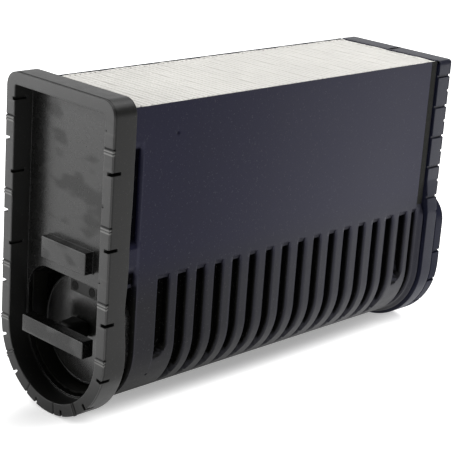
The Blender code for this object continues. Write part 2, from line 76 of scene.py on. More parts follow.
WHITE = (1.0, 1.0, 1.0)


# ---------------------------------------------------------------- numbers on arrays
def smooth(value: Array, start: float, end: float) -> Array:
    """Smoothstep: 0 at start, 1 at end, with level ends; start may be the larger one.

    Args:
        value: where to read it.
        start: the value that gives 0.
        end: the value that gives 1.

    Returns:
        3t^2 - 2t^3 of the clamped fraction t.
    """
    t = np.clip((np.asarray(value, float) - start) / (end - start), 0.0, 1.0)
    return t * t * (3.0 - 2.0 * t)


def plateau(value: Array, low: float, high: float, edge: float) -> Array:
    """1 between low and high, falling smoothly to 0 over a width of edge inside both ends."""
    return smooth(value, low, low + edge) * smooth(value, high, high - edge)


def rounding(share: Array) -> Array:
    """A quarter circle: level at share 0, upright at share 1, where it reaches 1."""
    return 1.0 - np.sqrt(1.0 - np.clip(share, 0.0, 1.0) ** 2)


def bell(value: Array, centre: float, width: float) -> Array:
    """A Gaussian hump of height 1 about centre."""
    return np.exp(-(((np.asarray(value, float) - centre) / width) ** 2))


def humps(value: Array, table: Humps) -> Array:
    """A sum of Gaussian humps, each given as its centre in mm, its width in mm and its height."""
    return sum(height * bell(value, centre * MM, width * MM) for centre, width, height in table)


def wavy(value: Array, seed: int, octaves: int = 4) -> Array:
    """A smooth random curve, the sum of sines with seeded phases, doubling frequencies and fading heights.

    Args:
        value: where to read it; the longest wave is 2 pi long.
        seed: of the phases.
        octaves: how many sines.

    Returns:
        About -1 to 1.
    """
    rng = np.random.default_rng(seed)
    total = np.zeros_like(np.asarray(value, float))
    for octave in range(octaves):
        total += np.sin(value * 2.0**octave + rng.uniform(0.0, math.tau)) / 1.6**octave
    return total / 2.0


def stations(ends: Pair, step: float, features: list[float], spread: list[float]) -> Array:
    """Places along a path: an even spacing, refined at features.

    Args:
        ends: first and last place.
        step: widest spacing.
        features: places of grooves, slits and edges.
        spread: offsets from each feature at which a place is wanted.

    Returns:
        The places in order, with near duplicates dropped.
    """
    even = np.linspace(*ends, max(2, int(round((ends[1] - ends[0]) / step)) + 1))
    wanted = (np.asarray(features, float)[:, None] + np.asarray(spread, float)[None, :]).ravel()
    fixed = np.concatenate([wanted, ends])
    fixed = np.unique(np.round(fixed[(fixed >= ends[0]) & (fixed <= ends[1])], 8))
    apart = np.abs(even[:, None] - fixed[None, :]).min(axis=1) > step / 5
    places = np.sort(np.concatenate([even[apart], fixed]))
    return places[np.concatenate([[True], np.diff(places) > APART])]


def rounded(corners: list[Pair], radii: list[float], steps: int = 7, closed: bool = True) -> Array:
    """A polyline whose corners are rounded by quadratic curves, with the same number of points at each.

    Args:
        corners: the sharp points.
        radii: how far from each corner its curve starts.
        steps: points on each curve.
        closed: whether the last corner joins the first.

    Returns:
        The points, len(corners) * steps by 2.
    """
    at = np.asarray(corners, float)
    before, after = np.roll(at, 1, axis=0), np.roll(at, -1, axis=0)
    reach = np.asarray(radii, float)[:, None]
    if not closed:
        before[0], after[-1] = at[0], at[-1]

    def towards(other: Array) -> Array:
        """Points part of the way to other corners, at most just short of half way."""
        span = np.linalg.norm(other - at, axis=1, keepdims=True)
        return at + (other - at) * np.minimum(reach / np.maximum(span, TINY), 0.49)

    start, end = towards(before), towards(after)
    t = np.linspace(0.0, 1.0, steps)[None, :, None]
    curve = (1 - t) ** 2 * start[:, None] + 2 * t * (1 - t) * at[:, None] + t**2 * end[:, None]
    return curve.reshape(-1, 2)


# ---------------------------------------------------------------- outlines
@dataclass(frozen=True)
class Outline:
    """A flat top with round corners, straight sides and a half-round bottom, in the YZ plane.

    Places on it are lengths from the middle of the top, going down the near side (-Y) first.
    """

    half: float
    top: float
    corner: float
    axis: float

    @property
    def parts(self) -> Array:
        """Its seven parts.

        Returns:
            Lengths of the half top, corner, side, bottom, side, corner and half top.
        """
        flat, side = self.half - self.corner, self.top - self.corner - self.axis
        turn = math.pi / 2 * self.corner
        return np.array([flat, turn, side, math.pi * self.half, side, turn, flat])

    @property
    def length(self) -> float:
        """The whole way round."""
        return float(self.parts.sum())

    def at_height(self, height: float) -> float:
        """The place on the near side at a height."""
        return float(self.parts[:2].sum() + self.top - self.corner - height)

    def at_angle(self, degrees: float) -> float:
        """The place on the bottom, 0 where the near side ends and 90 at the lowest point."""
        return float(self.parts[:3].sum() + self.half * math.radians(degrees))

    def mirrored(self, place: float) -> float:
        """The place on the far side that faces this one."""
        return self.length - place

    def points(self, places: Array) -> tuple[Array, Array]:
        """Where the outline is at each place, and its outward normal there.

        Args:
            places: lengths along the outline.

        Returns:
            Two arrays of (y, z).
        """
        places = np.asarray(places, float)
        mirror = places > self.length / 2
        s = np.where(mirror, self.length - places, places)
        flat, turn, side = np.cumsum(self.parts)[:3]
        corner_angle = np.pi / 2 + (s - flat) / max(self.corner, TINY)
        bottom_angle = np.pi + (s - side) / self.half
        zero, one = np.zeros_like(s), np.ones_like(s)
        inside = self.half - self.corner
        pieces = [s <= flat, s <= turn, s <= side, s > side]
        ny = np.select(pieces, [zero, np.cos(corner_angle), -one, np.cos(bottom_angle)])
        nz = np.select(pieces, [one, np.sin(corner_angle), zero, np.sin(bottom_angle)])
        y = np.select(pieces, [-s, -inside + self.corner * ny, -self.half * one, self.half * ny])
        raised = self.top - self.corner
        bottom = self.axis + self.half * nz
        z = np.select(pieces, [self.top * one, raised + self.corner * nz, raised - (s - turn), bottom])
        sign = np.where(mirror, -1.0, 1.0)
        return np.stack([y * sign, z], axis=1), np.stack([ny * sign, nz], axis=1)


def carried(outline: Outline, places: Array, profile: Array) -> Array:
    """A profile carried round an outline: point = outline - normal * inset, at the profile's x.

    Args:
        outline: the path.
        places: where the profile is set, N of them.
        profile: (x, inset) pairs, M by 2, or N by M by 2 where it changes along the path.

    Returns:
        Points, N by M by 3.
    """
    base, normal = outline.points(places)
    x = np.broadcast_to(profile[..., 0], (len(places), profile.shape[-2]))
    inset = np.broadcast_to(profile[..., 1], x.shape)
    yz = base[:, None, :] - normal[:, None, :] * inset[..., None]
    return np.concatenate([x[..., None], yz], axis=2)


# ---------------------------------------------------------------- meshes
class Patch:
    """Collects grids of points and turns them into one closed mesh object."""

    def __init__(self) -> None:
        """Starts with nothing."""
        self.points: list[Array] = []
        self.faces: list[Array] = []
        self.painted_light: list[Array] = []
        self.count = 0

    def grid(
        self,
        points: Array,
        around_rows: bool = False,
        around_columns: bool = False,
        painted_light: Array | None = None,
    ) -> "Patch":
        """Adds a grid of quads over points of shape rows by columns by 3.

        Args:
            points: the grid.
            around_rows: whether the last row joins the first.
            around_columns: whether the last column joins the first.
            painted_light: 1 where a highlight is painted pale, -1 where shade is painted dark, 0 elsewhere,
                rows by columns.

        Returns:
            This patch.
        """
        rows, columns = points.shape[:2]
        index = np.arange(rows * columns).reshape(rows, columns) + self.count
        if around_rows:
            index = np.concatenate([index, index[:1]])
        if around_columns:
            index = np.concatenate([index, index[:, :1]], axis=1)
        quads = np.stack([index[:-1, :-1], index[:-1, 1:], index[1:, 1:], index[1:, :-1]], axis=-1)
        self.points.append(points.reshape(-1, 3))
        self.faces.append(quads.reshape(-1, 4))
        self.painted_light.append(np.zeros(rows * columns) if painted_light is None else painted_light.ravel())
        self.count += rows * columns
        return self

    def strip(self, first: Array, second: Array, around: bool = False) -> "Patch":
        """Adds one row of quads between two lines of points."""
        return self.grid(np.stack([first, second]), around_columns=around)

    def fan(self, loop: Array) -> "Patch":
        """Closes a loop of points with faces to its middle."""
        middle = np.broadcast_to(loop.mean(axis=0), loop.shape)
        return self.strip(loop, middle, around=True)

    def slab(self, front: Array, back: Array, painted_light: Array | None = None) -> "Patch":
        """Adds two facing grids and the four strips that close them into a body.

        Args:
            front: one grid.
            back: the other, point facing point.
            painted_light: where highlights and shade are painted on the front.

        Returns:
            This patch.
        """
        self.grid(front, painted_light=painted_light).grid(back[::-1])
        for edge in (np.s_[0, :], np.s_[-1, :], np.s_[:, 0], np.s_[:, -1]):
            self.strip(front[edge], back[edge])
        return self

    def build(self, name: str, sharp: float = 35.0, weld: float = 2e-6) -> bpy.types.Object:
        """Makes the mesh object: welded, with normals out, smooth but for edges sharper than an angle.

        Args:
            name: the object's name.
            sharp: degrees past which an edge is drawn sharp.
            weld: how near two points count as one.

        Returns:
            The object, at the origin.
        """
        points, faces = np.concatenate(self.points), np.concatenate(self.faces)
        mesh = bpy.data.meshes.new(name)
        mesh.vertices.add(len(points))
        mesh.vertices.foreach_set("co", points.astype(np.float32).ravel())
        mesh.loops.add(faces.size)
        mesh.loops.foreach_set("vertex_index", faces.astype(np.int32).ravel())
        mesh.polygons.add(len(faces))
        mesh.polygons.foreach_set("loop_start", np.arange(0, faces.size, 4, dtype=np.int32))
        # The layer of painted light: painted highlights above 0, painted shade below 0.
        light_paint = mesh.attributes.new(PAINTED_LIGHT, "FLOAT", "POINT")
        light_paint.data.foreach_set("value", np.concatenate(self.painted_light).astype(np.float32))
        mesh.update(calc_edges=True)
        mesh.validate()
        work = bmesh.new()
        work.from_mesh(mesh)
        bmesh.ops.remove_doubles(work, verts=work.verts[:], dist=weld)
        bmesh.ops.dissolve_degenerate(work, edges=work.edges[:], dist=weld / 2)
        bmesh.ops.recalc_face_normals(work, faces=work.faces[:])
        work.to_mesh(mesh)
        work.free()
        mesh.shade_smooth()
        mesh.set_sharp_from_angle(angle=math.radians(sharp))
        piece = bpy.data.objects.new(name, mesh)
        bpy.context.scene.collection.objects.link(piece)
        return piece


def lathe(name: str, profile: Array, centre: Pair, count: int) -> bpy.types.Object:
    """A round piece about an axis along X: (x, radius) pairs turned about (y, z) = centre.

    Args:
        name: the object's name.
        profile: the pairs, from the axis and back to it, or a closed loop that stays off it.
        centre: where the axis is.
        count: points round it.

    Returns:
        The piece.
    """
    angle = np.linspace(0.0, math.tau, count, endpoint=False)[:, None]
    x = np.broadcast_to(profile[:, 0], (count, len(profile)))
    y, z = centre[0] + profile[:, 1] * np.cos(angle), centre[1] + profile[:, 1] * np.sin(angle)
    return Patch().grid(np.stack([x, y, z], axis=2), around_rows=True, around_columns=True).build(name)


def soft_box(name: str, low: Vector, high: Vector, radius: float) -> bpy.types.Object:
    """A block with rounded edges: each point of a plain block is pulled to within a radius of its core.

    The core is the block without a layer one radius thick, and
    point = core + radius * (point - core) / |point - core|.

    Args:
        name: the object's name.
        low: lowest corner.
        high: highest corner.
        radius: of the edges.

    Returns:
        The piece.
    """
    steps = np.array([0.0, 0.25, 0.5, 0.75, 1.0])
    patch = Patch()
    size = np.array(high) - np.array(low)
    radius = min(radius, size.min() / 2.01)

    def line(length: float) -> Array:
        """Places along one edge, closer together where it is round."""
        inner = np.linspace(radius, length - radius, 7)[1:-1]
        return np.concatenate([radius * steps, inner, length - radius * steps[::-1]])

    lines = [line(extent) for extent in size]
    for axis in range(3):
        u, v = [i for i in range(3) if i != axis]
        for end in (0.0, size[axis]):
            grid = np.zeros((len(lines[u]), len(lines[v]), 3))
            grid[..., u] = lines[u][:, None]
            grid[..., v] = lines[v][None, :]
            grid[..., axis] = end
            core = np.clip(grid, radius, size - radius)
            out = grid - core
            length = np.linalg.norm(out, axis=2, keepdims=True)
            patch.grid(np.array(low) + core + out / np.maximum(length, TINY) * radius)
    return patch.build(name)


# ---------------------------------------------------------------- shader nodes
class Wire:
    """A node's output on which shader maths is written as Python expressions."""

    def __init__(self, shop: "NodeShop", socket: bpy.types.NodeSocket) -> None:
        """Holds the socket and the tree it is in."""
        self.shop, self.socket = shop, socket

    def _maths(self, operation: str, first: object, second: object) -> "Wire":
        """A Math node's result."""
        node = self.shop.node("ShaderNodeMath", {"operation": operation}, {0: first, 1: second})
        return Wire(self.shop, node.outputs[0])

    def __add__(self, other: object) -> "Wire":
        """self + other."""
        return self._maths("ADD", self, other)

    __radd__ = __add__

    def __sub__(self, other: object) -> "Wire":
        """self - other."""
        return self._maths("SUBTRACT", self, other)

    def __mul__(self, other: object) -> "Wire":
        """self * other."""
        return self._maths("MULTIPLY", self, other)

    __rmul__ = __mul__

    def size(self) -> "Wire":
        """The value without its sign."""
        return self._maths("ABSOLUTE", self, 0.0)

    def ramp(self, start: float, end: float) -> "Wire":
        """A smooth step.

        Args:
            start: the value that gives 0.
            end: the value that gives 1.

        Returns:
            The step.
        """
        settings = {"interpolation_type": "SMOOTHSTEP"}
        sockets = {"Value": self, "From Min": start, "From Max": end}
        node = self.shop.node("ShaderNodeMapRange", settings, sockets)
        return Wire(self.shop, node.outputs["Result"])


class NodeShop:
    """Makes the nodes of one material."""

    def __init__(self, name: str) -> None:
        """Starts a material with its shader and output.

        Args:
            name: the material's name.
        """
        self.material = bpy.data.materials.new(name)
        self.material.use_nodes = True
        self.tree = self.material.node_tree
        self.tree.nodes.clear()
        self.shader = self.node("ShaderNodeBsdfPrincipled", {}, {})
        self.out = self.node("ShaderNodeOutputMaterial", {}, {})
        self.tree.links.new(self.shader.outputs[0], self.out.inputs["Surface"])
        coordinates = self.node("ShaderNodeTexCoord", {}, {})
        self.place = Wire(self, coordinates.outputs["Object"])
        split = self.node("ShaderNodeSeparateXYZ", {}, {0: self.place})
        self.axes = [Wire(self, output) for output in split.outputs]
        # Reads the layer of painted light: painted highlights above 0, painted shade below 0.
        light_paint = self.node("ShaderNodeAttribute", {"attribute_name": PAINTED_LIGHT}, {})
        self.painted_light = Wire(self, light_paint.outputs["Fac"])

    def node(self, kind: str, settings: dict[str, object], sockets: dict[object, object]) -> bpy.types.Node:
        """Adds a node.

        Args:
            kind: its type.
            settings: its properties, set first.
            sockets: values or wires of its inputs, by name or number.

        Returns:
            The node.
        """
        made = self.tree.nodes.new(kind)
        for key, value in settings.items():
            setattr(made, key, value)
        for key, value in sockets.items():
            if isinstance(value, Wire):
                self.tree.links.new(value.socket, made.inputs[key])
            else:
                made.inputs[key].default_value = value
        return made

    def noise(self, scale: float, detail: float, stretch: Triple = WHITE) -> Wire:
        """Fractal noise over the object.

        Args:
            scale: features a metre.
            detail: how many finer layers.
            stretch: a further scale on each axis.

        Returns:
            0 to 1.
        """
        mapping = self.node("ShaderNodeMapping", {}, {"Vector": self.place, "Scale": stretch})
        vector = Wire(self, mapping.outputs[0])
        sockets = {"Vector": vector, "Scale": scale, "Detail": detail, "Roughness": 0.6}
        made = self.node("ShaderNodeTexNoise", {}, sockets)
        return Wire(self, made.outputs["Fac"])

    def mix(self, factor: Wire, first: object, second: object) -> Wire:
        """Mixes two colours by a factor."""
        made = self.node("ShaderNodeMix", {"data_type": "RGBA"}, {0: factor, 6: first, 7: second})
        return Wire(self, made.outputs[2])

    def bump(self, height: Wire, strength: float, distance: float) -> None:
        """Sends a height through a Bump node to the shader's normal."""
        made = self.node("ShaderNodeBump", {}, {"Height": height, "Strength": strength, "Distance": distance})
        self.tree.links.new(made.outputs[0], self.shader.inputs["Normal"])

    def dulling(self, factor: Wire) -> None:
        """Mixes the shader with a copy of itself that doesn't shine.

        Args:
            factor: how much of the copy shows.
        """
        dull = self.node("ShaderNodeBsdfPrincipled", {}, {"Specular IOR Level": 0.0})
        for link in list(self.tree.links):
            if link.to_node == self.shader:
                self.tree.links.new(link.from_socket, dull.inputs[link.to_socket.name])
        mixed = self.node("ShaderNodeMixShader", {}, {0: factor})
        self.tree.links.new(self.shader.outputs[0], mixed.inputs[1])
        self.tree.links.new(dull.outputs[0], mixed.inputs[2])
        self.tree.links.new(mixed.outputs[0], self.out.inputs["Surface"])

    def feed(self, socket: str, value: object) -> None:
        """Links a wire to one of the shader's sockets, or sets it.

        Args:
            socket: its name.
            value: the wire or the constant.
        """
        if isinstance(value, Wire):
            self.tree.links.new(value.socket, self.shader.inputs[socket])
        else:
            self.shader.inputs[socket].default_value = value


def opaque(colour: Colour, gain: float = 1.0) -> tuple[float, float, float, float]:
    """The colour times gain, with full alpha."""
    return (colour[0] * gain, colour[1] * gain, colour[2] * gain, 1.0)


@dataclass(frozen=True)
class Ramp:
    """A smooth step from 0 to 1 along an axis, numbered from 0; with both sides, of the distance from 0."""

    axis: int
    start: float
    end: float
    both: bool = False

    def wire(self, shop: NodeShop) -> Wire:
        """The ramp's nodes."""
        place = shop.axes[self.axis]
        return (place.size() if self.both else place).ramp(self.start, self.end)


@dataclass(frozen=True)
class Dulling:
    """Where a surface loses its shine, an amount times the product of ramps; set by position on sides and the
    bottom it is painted shade, and with no ramps it is a matt finish.
    """

    amount: float
    ramps: tuple[Ramp, ...] = ()

    def wire(self, shop: NodeShop) -> Wire:
        """The film's share at each place.

        Args:
            shop: makes the nodes.

        Returns:
            The share.
        """
        share: object = self.amount
        for ramp in self.ramps:
            share = ramp.wire(shop) * share
        return share


@dataclass(frozen=True)
class Moulded:
    """Dark moulded plastic or polyurethane: mottled colour, fine grain, dust and uneven gloss.

    A second colour can take over along a ramp.  Dullings and smudges don't shine.  Painted shade is near
    black and doesn't shine, and painted highlights are paler.  Sizes of the noise are features a metre.
    """

    name: str
    colour: Colour
    roughness: float
    cloud: float = 0.25
    broad_size: float = 9.0
    fine_size: float = 160.0
    grain: float = 0.12
    grain_size: float = 1400.0
    grain_height: float = 0.4 * MM
    dust: float = 0.06
    dust_size: float = 620.0
    dust_colour: Colour = (0.35, 0.35, 0.34)
    specular: float = 0.5
    other: Colour | None = None
    change: Ramp | None = None
    dullings: tuple[Dulling, ...] = ()
    smudge: float = 0.0
    smudge_size: float = 15.0
    smudge_stretch: Triple = (1.0, 1.0, 2.2)
    # Colour of painted highlights, colour of painted shade, and how much painted shade also takes the shine
    # away.
    light_paint: Colour = (0.11, 0.11, 0.105)
    painted_shade: Colour = (0.0012, 0.0012, 0.0012)
    shaded_hollows: float = 0.6
    tint: Colour = (1.0, 1.0, 1.0)

    def build(self) -> bpy.types.Material:
        """Makes the material.

        Returns:
            The material.
        """
        shop = NodeShop(self.name)
        broad = shop.noise(self.broad_size, 4.0)
        fine = shop.noise(self.fine_size, 4.0)
        grain = shop.noise(self.grain_size, 2.0)
        specks = shop.noise(self.dust_size, 1.0).ramp(0.66, 0.74)
        cloud = broad.ramp(0.3, 0.7) * 0.7 + fine.ramp(0.35, 0.65) * 0.3
        base = shop.mix(cloud, opaque(self.colour, 1.0 - self.cloud), opaque(self.colour, 1.0 + self.cloud))
        if self.other and self.change:
            base = shop.mix(self.change.wire(shop), base, opaque(self.other))
        # Painted light from the mesh layer: its positive part paints highlights pale, its negative part
        # paints shade near black.
        pale, painted_shade = shop.painted_light.ramp(0.0, 1.0), shop.painted_light.ramp(0.0, -1.0)
        base = shop.mix(painted_shade, base, opaque(self.painted_shade))
        highlighted = shop.mix(pale * (0.6 + cloud * 0.4), base, opaque(self.light_paint))
        dusty = shop.mix(specks * self.dust, highlighted, opaque(self.dust_colour))
        shop.feed("Base Color", dusty)
        shop.feed("Roughness", self.roughness + (broad - 0.5) * 0.16 + (fine - 0.5) * 0.14)
        shop.feed("Specular IOR Level", self.specular)
        shop.feed("Specular Tint", opaque(self.tint))
        shop.bump(grain + fine * 0.6, self.grain, self.grain_height)
        wiped = shop.noise(self.smudge_size, 2.0, self.smudge_stretch).ramp(0.5, 0.6) * self.smudge
        # Smudges, the dullings and the painted shade take the shine away; dullings set by position paint
        # shade.
        shop.dulling(sum((dulling.wire(shop) for dulling in self.dullings), start=wiped + painted_shade * self.shaded_hollows))
        return shop.material


@dataclass(frozen=True)
class Paper:
    """Uncoated pleated filter paper: warm white with fibres, faint soiling and a soft surface."""

    name: str
    colour: Colour = (0.78, 0.766, 0.732)
    fibre_size: float = 900.0
    fibre_stretch: Triple = (1.0, 0.25, 0.6)
    cloud_size: float = 14.0

    def build(self) -> bpy.types.Material:
        """Makes the material.

        Returns:
            The material.
        """
        shop = NodeShop(self.name)
        fibre = shop.noise(self.fibre_size, 5.0, self.fibre_stretch)
        cloud = shop.noise(self.cloud_size, 3.0)
        tone = shop.mix(cloud.ramp(0.3, 0.75), opaque(self.colour, 0.93), opaque(self.colour))
        tinted = shop.mix(fibre.ramp(0.35, 0.75) * 0.35, tone, opaque(self.colour, 1.05))
        shop.feed("Base Color", tinted)
        shop.feed("Roughness", 0.86 + (fibre - 0.5) * 0.1)
        shop.feed("Specular IOR Level", 0.25)
        shop.bump(fibre, 0.35, 0.3 * MM)
        return shop.material


@dataclass(frozen=True)
class Cured:
    """Cured sealant: smooth lumps, a skin with soft gloss."""

    name: str
    colour: Colour
    roughness: float = 0.42
    specular: float = 0.5
    lump_size: float = 120.0
    skin_size: float = 700.0

    def build(self) -> bpy.types.Material:
        """Makes the material.

        Returns:
            The material.
        """
        shop = NodeShop(self.name)
        lumps = shop.noise(self.lump_size, 3.0)
        skin = shop.noise(self.skin_size, 2.0)
        tone = shop.mix(lumps.ramp(0.3, 0.7), opaque(self.colour, 0.8), opaque(self.colour, 1.2))
        shop.feed("Base Color", tone)
        shop.feed("Roughness", self.roughness + (skin - 0.5) * 0.25)
        shop.feed("Specular IOR Level", self.specular)
        shop.bump(lumps + skin * 0.3, 0.5, 1.2 * MM)
        return shop.material


class Slot(Enum):
    """The record's material slots."""

    FRAME = "frame_polyurethane"
    FRONT = "front_plastic"
    HOUSING = "housing_plastic"
    SEAL = "seal_polyurethane"
    PAPER = "filter_paper"
    SEALANT = "sealant"
    EDGE = "edge_sealant"


# Where the rim's sides and the underside lie, for the painted shade on them: they are made duller, so darker.
SIDE = (Ramp(0, -0.2415, -0.2395), Ramp(1, 0.068, 0.0735, both=True))
LOW = Dulling(0.42, (Ramp(2, 0.09, 0.01),))
FINISHES = {
    Slot.FRAME: Moulded(
        "rim_polyurethane",
        (0.006, 0.006, 0.0056),
        0.4,
        cloud=0.14,
        grain=0.16,
        specular=0.43,
        # Painted shade: the rim's outer sides and its bottom are made duller, so darker.
        dullings=(Dulling(0.4, SIDE), LOW),
    ),
    Slot.FRONT: Moulded(
        "plate_plastic", (0.0045, 0.0045, 0.0042), 0.27, cloud=0.2, grain=0.09, specular=0.4, smudge=0.3
    ),
    Slot.HOUSING: Moulded(
        "trough_plastic",
        (0.005, 0.005, 0.0145),
        0.36,
        cloud=0.12,
        grain=0.06,
        specular=0.27,
        other=(0.0068, 0.0068, 0.0055),
        tint=(0.9, 0.9, 1.2),
        change=Ramp(2, 0.17, 0.11),
        # Painted shade: the trough is made duller, so darker, towards its front end and towards the bottom.
        dullings=(
            Dulling(0.5, (Ramp(0, 0.16, -0.2),)),
            Dulling(0.25, (Ramp(2, 0.08, 0.01),)),
        ),
        light_paint=(0.07, 0.07, 0.1),
    ),
    Slot.SEAL: Moulded(
        "seal_polyurethane",
        (0.006, 0.007, 0.019),
        0.42,
        cloud=0.15,
        grain=0.12,
        specular=0.4,
        # Painted shade: the seal's outer sides and its bottom are made duller, so darker; it is also duller
        # behind x = 0.2275.
        dullings=(Dulling(0.3, (SIDE[1],)), LOW, Dulling(0.35, (Ramp(0, 0.2275, 0.2285),))),
    ),
    Slot.PAPER: Paper("pleat_paper"),
    Slot.SEALANT: Cured("pale_sealant", (0.7, 0.69, 0.65)),
    Slot.EDGE: Cured("dark_sealant", (0.007, 0.007, 0.0055), 0.5, 0.1),
}


class Mark(Enum):
    """Extra finishes in the cup: the drum shines more than the plate, and its marks and the pillar less."""

    PAD = Moulded("pad_plastic", (0.006, 0.006, 0.0055), 0.42, dullings=(Dulling(0.45),))
    DISC = Moulded("disc_plastic", (0.005, 0.005, 0.0045), 0.46, dullings=(Dulling(0.8),))
    DRUM = Moulded(
        "drum_plastic", (0.0065, 0.0065, 0.006), 0.22, cloud=0.2, grain=0.08, specular=0.62, smudge=0.15
    )


class Workshop:
    """Holds the finishes, and hands each new piece to the frame."""

    def __init__(self) -> None:
        """Builds one material for each slot."""
        self.materials = {slot: finish.build() for slot, finish in FINISHES.items()}
        self.materials |= {mark: mark.value.build() for mark in Mark}

    def dress(self, piece: bpy.types.Object, slot: Slot, *nodes: str, finish: Mark | None = None) -> None:
        """Gives a piece its finish and its place in the frame.

        Args:
            piece: the new piece.
            slot: its finish.
            nodes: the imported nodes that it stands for.
            finish: a finish to use in place of the slot's own.
        """
        piece.data.materials.clear()
        piece.data.materials.append(self.materials[finish or slot])
        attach(piece, "root")
        if nodes:
            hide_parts(*nodes)
        LOG.info("%s: %d faces", piece.name, len(piece.data.polygons))

    def keep(self, node: bpy.types.Object, slot: Slot) -> None:
        """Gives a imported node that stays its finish."""
        node.data.materials.clear()
        node.data.materials.append(self.materials[slot])


@dataclass(frozen=True)
class Insert:
    """Main places of the insert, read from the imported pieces."""

    front: float
    half: float
    top: float
    axis: float
    plate: float
    housing_top: float
    housing_half: float

    @classmethod
    def read(cls) -> "Insert":
        """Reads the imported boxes; the round bottom's axis is as high as the rim's half width.

        Returns:
            The places.
        """
        low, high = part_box("front_rim")
        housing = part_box("housing")[1]
        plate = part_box("locating_bar")[1].x
        return cls(low.x, high.y, high.z, high.y, plate, housing.z, housing.y)


# ---------------------------------------------------------------- front rim
@dataclass(frozen=True)
class FrontRim:
    """The moulded rim: a rounded section carried round the outline, with slits and raised witness marks.

    Depths are below the rim's top and angles on its round bottom.  Humps are in mm along the outline.
    """

    insert: Insert
    depth: float = 26.3 * MM
    wall: float = 12.0 * MM
    corner: float = 14.0 * MM
    rebate: float = 5.7 * MM
    plate_gap: float = 0.3 * MM
    outer_reach: float = 10.5 * MM
    outer_bite: float = 6.0 * MM
    inner_reach: float = 14.0 * MM
    inner_bite: float = 3.0 * MM
    seam: tuple[Pair, ...] = ((3.2, 0.0), (2.5, 0.45), (1.8, 0.45), (1.2, 0.05))
    slit: float = 2.8 * MM
    slit_edge: float = 0.25 * MM
    # How much paler the rim is painted beside each slit.
    slit_paleness: float = 0.25
    outer_depths: tuple[float, ...] = (63.0 * MM, 132.0 * MM, 201.0 * MM)
    outer_angles: tuple[float, ...] = (15.0, 45.0, 75.0)
    inner_depths: tuple[float, ...] = (25.0 * MM, 93.0 * MM, 162.0 * MM)
    mark_depths: tuple[float, ...] = (43.5 * MM, 113.0 * MM, 183.0 * MM)
    mark_angles: Pair = (58.0, 30.0)
    cut_angles: Pair = (84.0, 63.0)
    ridges: Humps = ((-0.3, 0.95, 1.0), (2.2, 0.95, 1.0))
    furrows: Humps = ((-2.2, 0.65, 1.6), (0.95, 0.4, 0.7))
    cut: Humps = ((0.0, 0.9, 2.6),)
    # Painted light along each mark: highlights on the ridges, shade in the furrows.
    light_humps: Humps = ((-0.2, 0.8, 1.0), (2.4, 0.9, 0.9), (-2.3, 0.9, -1.0), (1.0, 0.4, -0.4))
    pulls: Humps = ((132.0, 30.0, 1.3), (192.0, 26.0, 2.8))
    spacing: float = 3.2 * MM
    fine: float = 0.32 * MM

    @property
    def outline(self) -> Outline:
        """The rim's outside."""
        return Outline(self.insert.half, self.insert.top, self.corner, self.insert.axis)

    def both_sides(self, depths: tuple[float, ...], angles: tuple[float, ...]) -> list[float]:
        """Places on both sides.

        Args:
            depths: those on the straight sides.
            angles: those on the bottom.

        Returns:
            The near side's places, then the far side's.
        """
        near = [self.outline.at_height(self.insert.top - below) for below in depths]
        near += [self.outline.at_angle(angle) for angle in angles]
        return near + [self.outline.mirrored(place) for place in near]

    def one_each(self, angles: Pair) -> list[float]:
        """A place at the first angle on the near side and one at the second angle on the far side."""
        return [self.outline.at_angle(angles[0]), self.outline.mirrored(self.outline.at_angle(angles[1]))]

    def section(self, outer_cut: float, inner_cut: float) -> Array:
        """The rim's section as (x, inset), with the outer or inner front corner cut away by a share.

        Args:
            outer_cut: 1 inside an outer slit.
            inner_cut: 1 inside an inner slit.

        Returns:
            The rounded closed profile.
        """
        shelf = self.insert.plate - self.insert.front - self.plate_gap
        seam = np.array(self.seam) * MM
        floor = np.array([(self.outer_reach, self.outer_bite * share) for share in (0.2, 0.4, 0.6, 0.8)])
        corners = [
            (self.depth, 0.0),
            (self.outer_reach, 0.0),
            *(seam + (floor - seam) * outer_cut),
            (self.outer_reach * outer_cut, self.outer_bite * outer_cut),
            (0.0, self.outer_bite),
            (0.0, self.wall - self.inner_bite),
            (self.inner_reach * inner_cut, self.wall - self.inner_bite * inner_cut),
            (self.inner_reach, self.wall),
            (shelf, self.wall),
            (shelf, self.rebate),
            (self.depth, self.rebate),
        ]
        outer_round, inner_round = 0.7 - 0.3 * outer_cut, 1.1 - 0.7 * inner_cut
        radii = [1.6, *[0.3] * 5, outer_round, 0.3, 0.3, inner_round, 0.3, 0.2, 0.2, 0.5]
        return rounded(corners, [radius * MM for radius in radii])

    def mask(self, places: Array, slits: list[float]) -> Array:
        """1 inside the slits, 0 between them, at each place."""
        reach = self.slit / 2 + self.slit_edge
        return sum(plateau(places, at - reach, at + reach, self.slit_edge) for at in slits)[:, None, None]

    def build(self, shop: Workshop) -> None:
        """Makes the rim.

        Args:
            shop: dresses it.
        """
        outline = self.outline
        outer = self.both_sides(self.outer_depths, self.outer_angles)
        inner = self.both_sides(self.inner_depths, ())
        highlit = self.both_sides(self.mark_depths, (0.0,))
        marks, cuts = highlit + self.one_each(self.mark_angles), self.one_each(self.cut_angles)
        half = self.slit / 2
        across_slit = [-half - self.slit_edge, -half, 0.0, half, half + self.slit_edge]
        features = [place + offset for place in outer + inner for offset in across_slit]
        features += [place + self.fine * step for place in marks + cuts for step in range(-12, 13)]
        turn = list(np.linspace(outline.parts[0], outline.parts[:2].sum(), 13))
        features += turn + [outline.mirrored(place) for place in turn]
        places = stations((0.0, outline.length), self.spacing, features, [0.0])[:-1]
        plain = self.section(0, 0)
        profile = plain[None] + self.mask(places, outer) * (self.section(1, 0) - plain)[None]
        profile = profile + self.mask(places, inner) * (self.section(0, 1) - plain)[None]
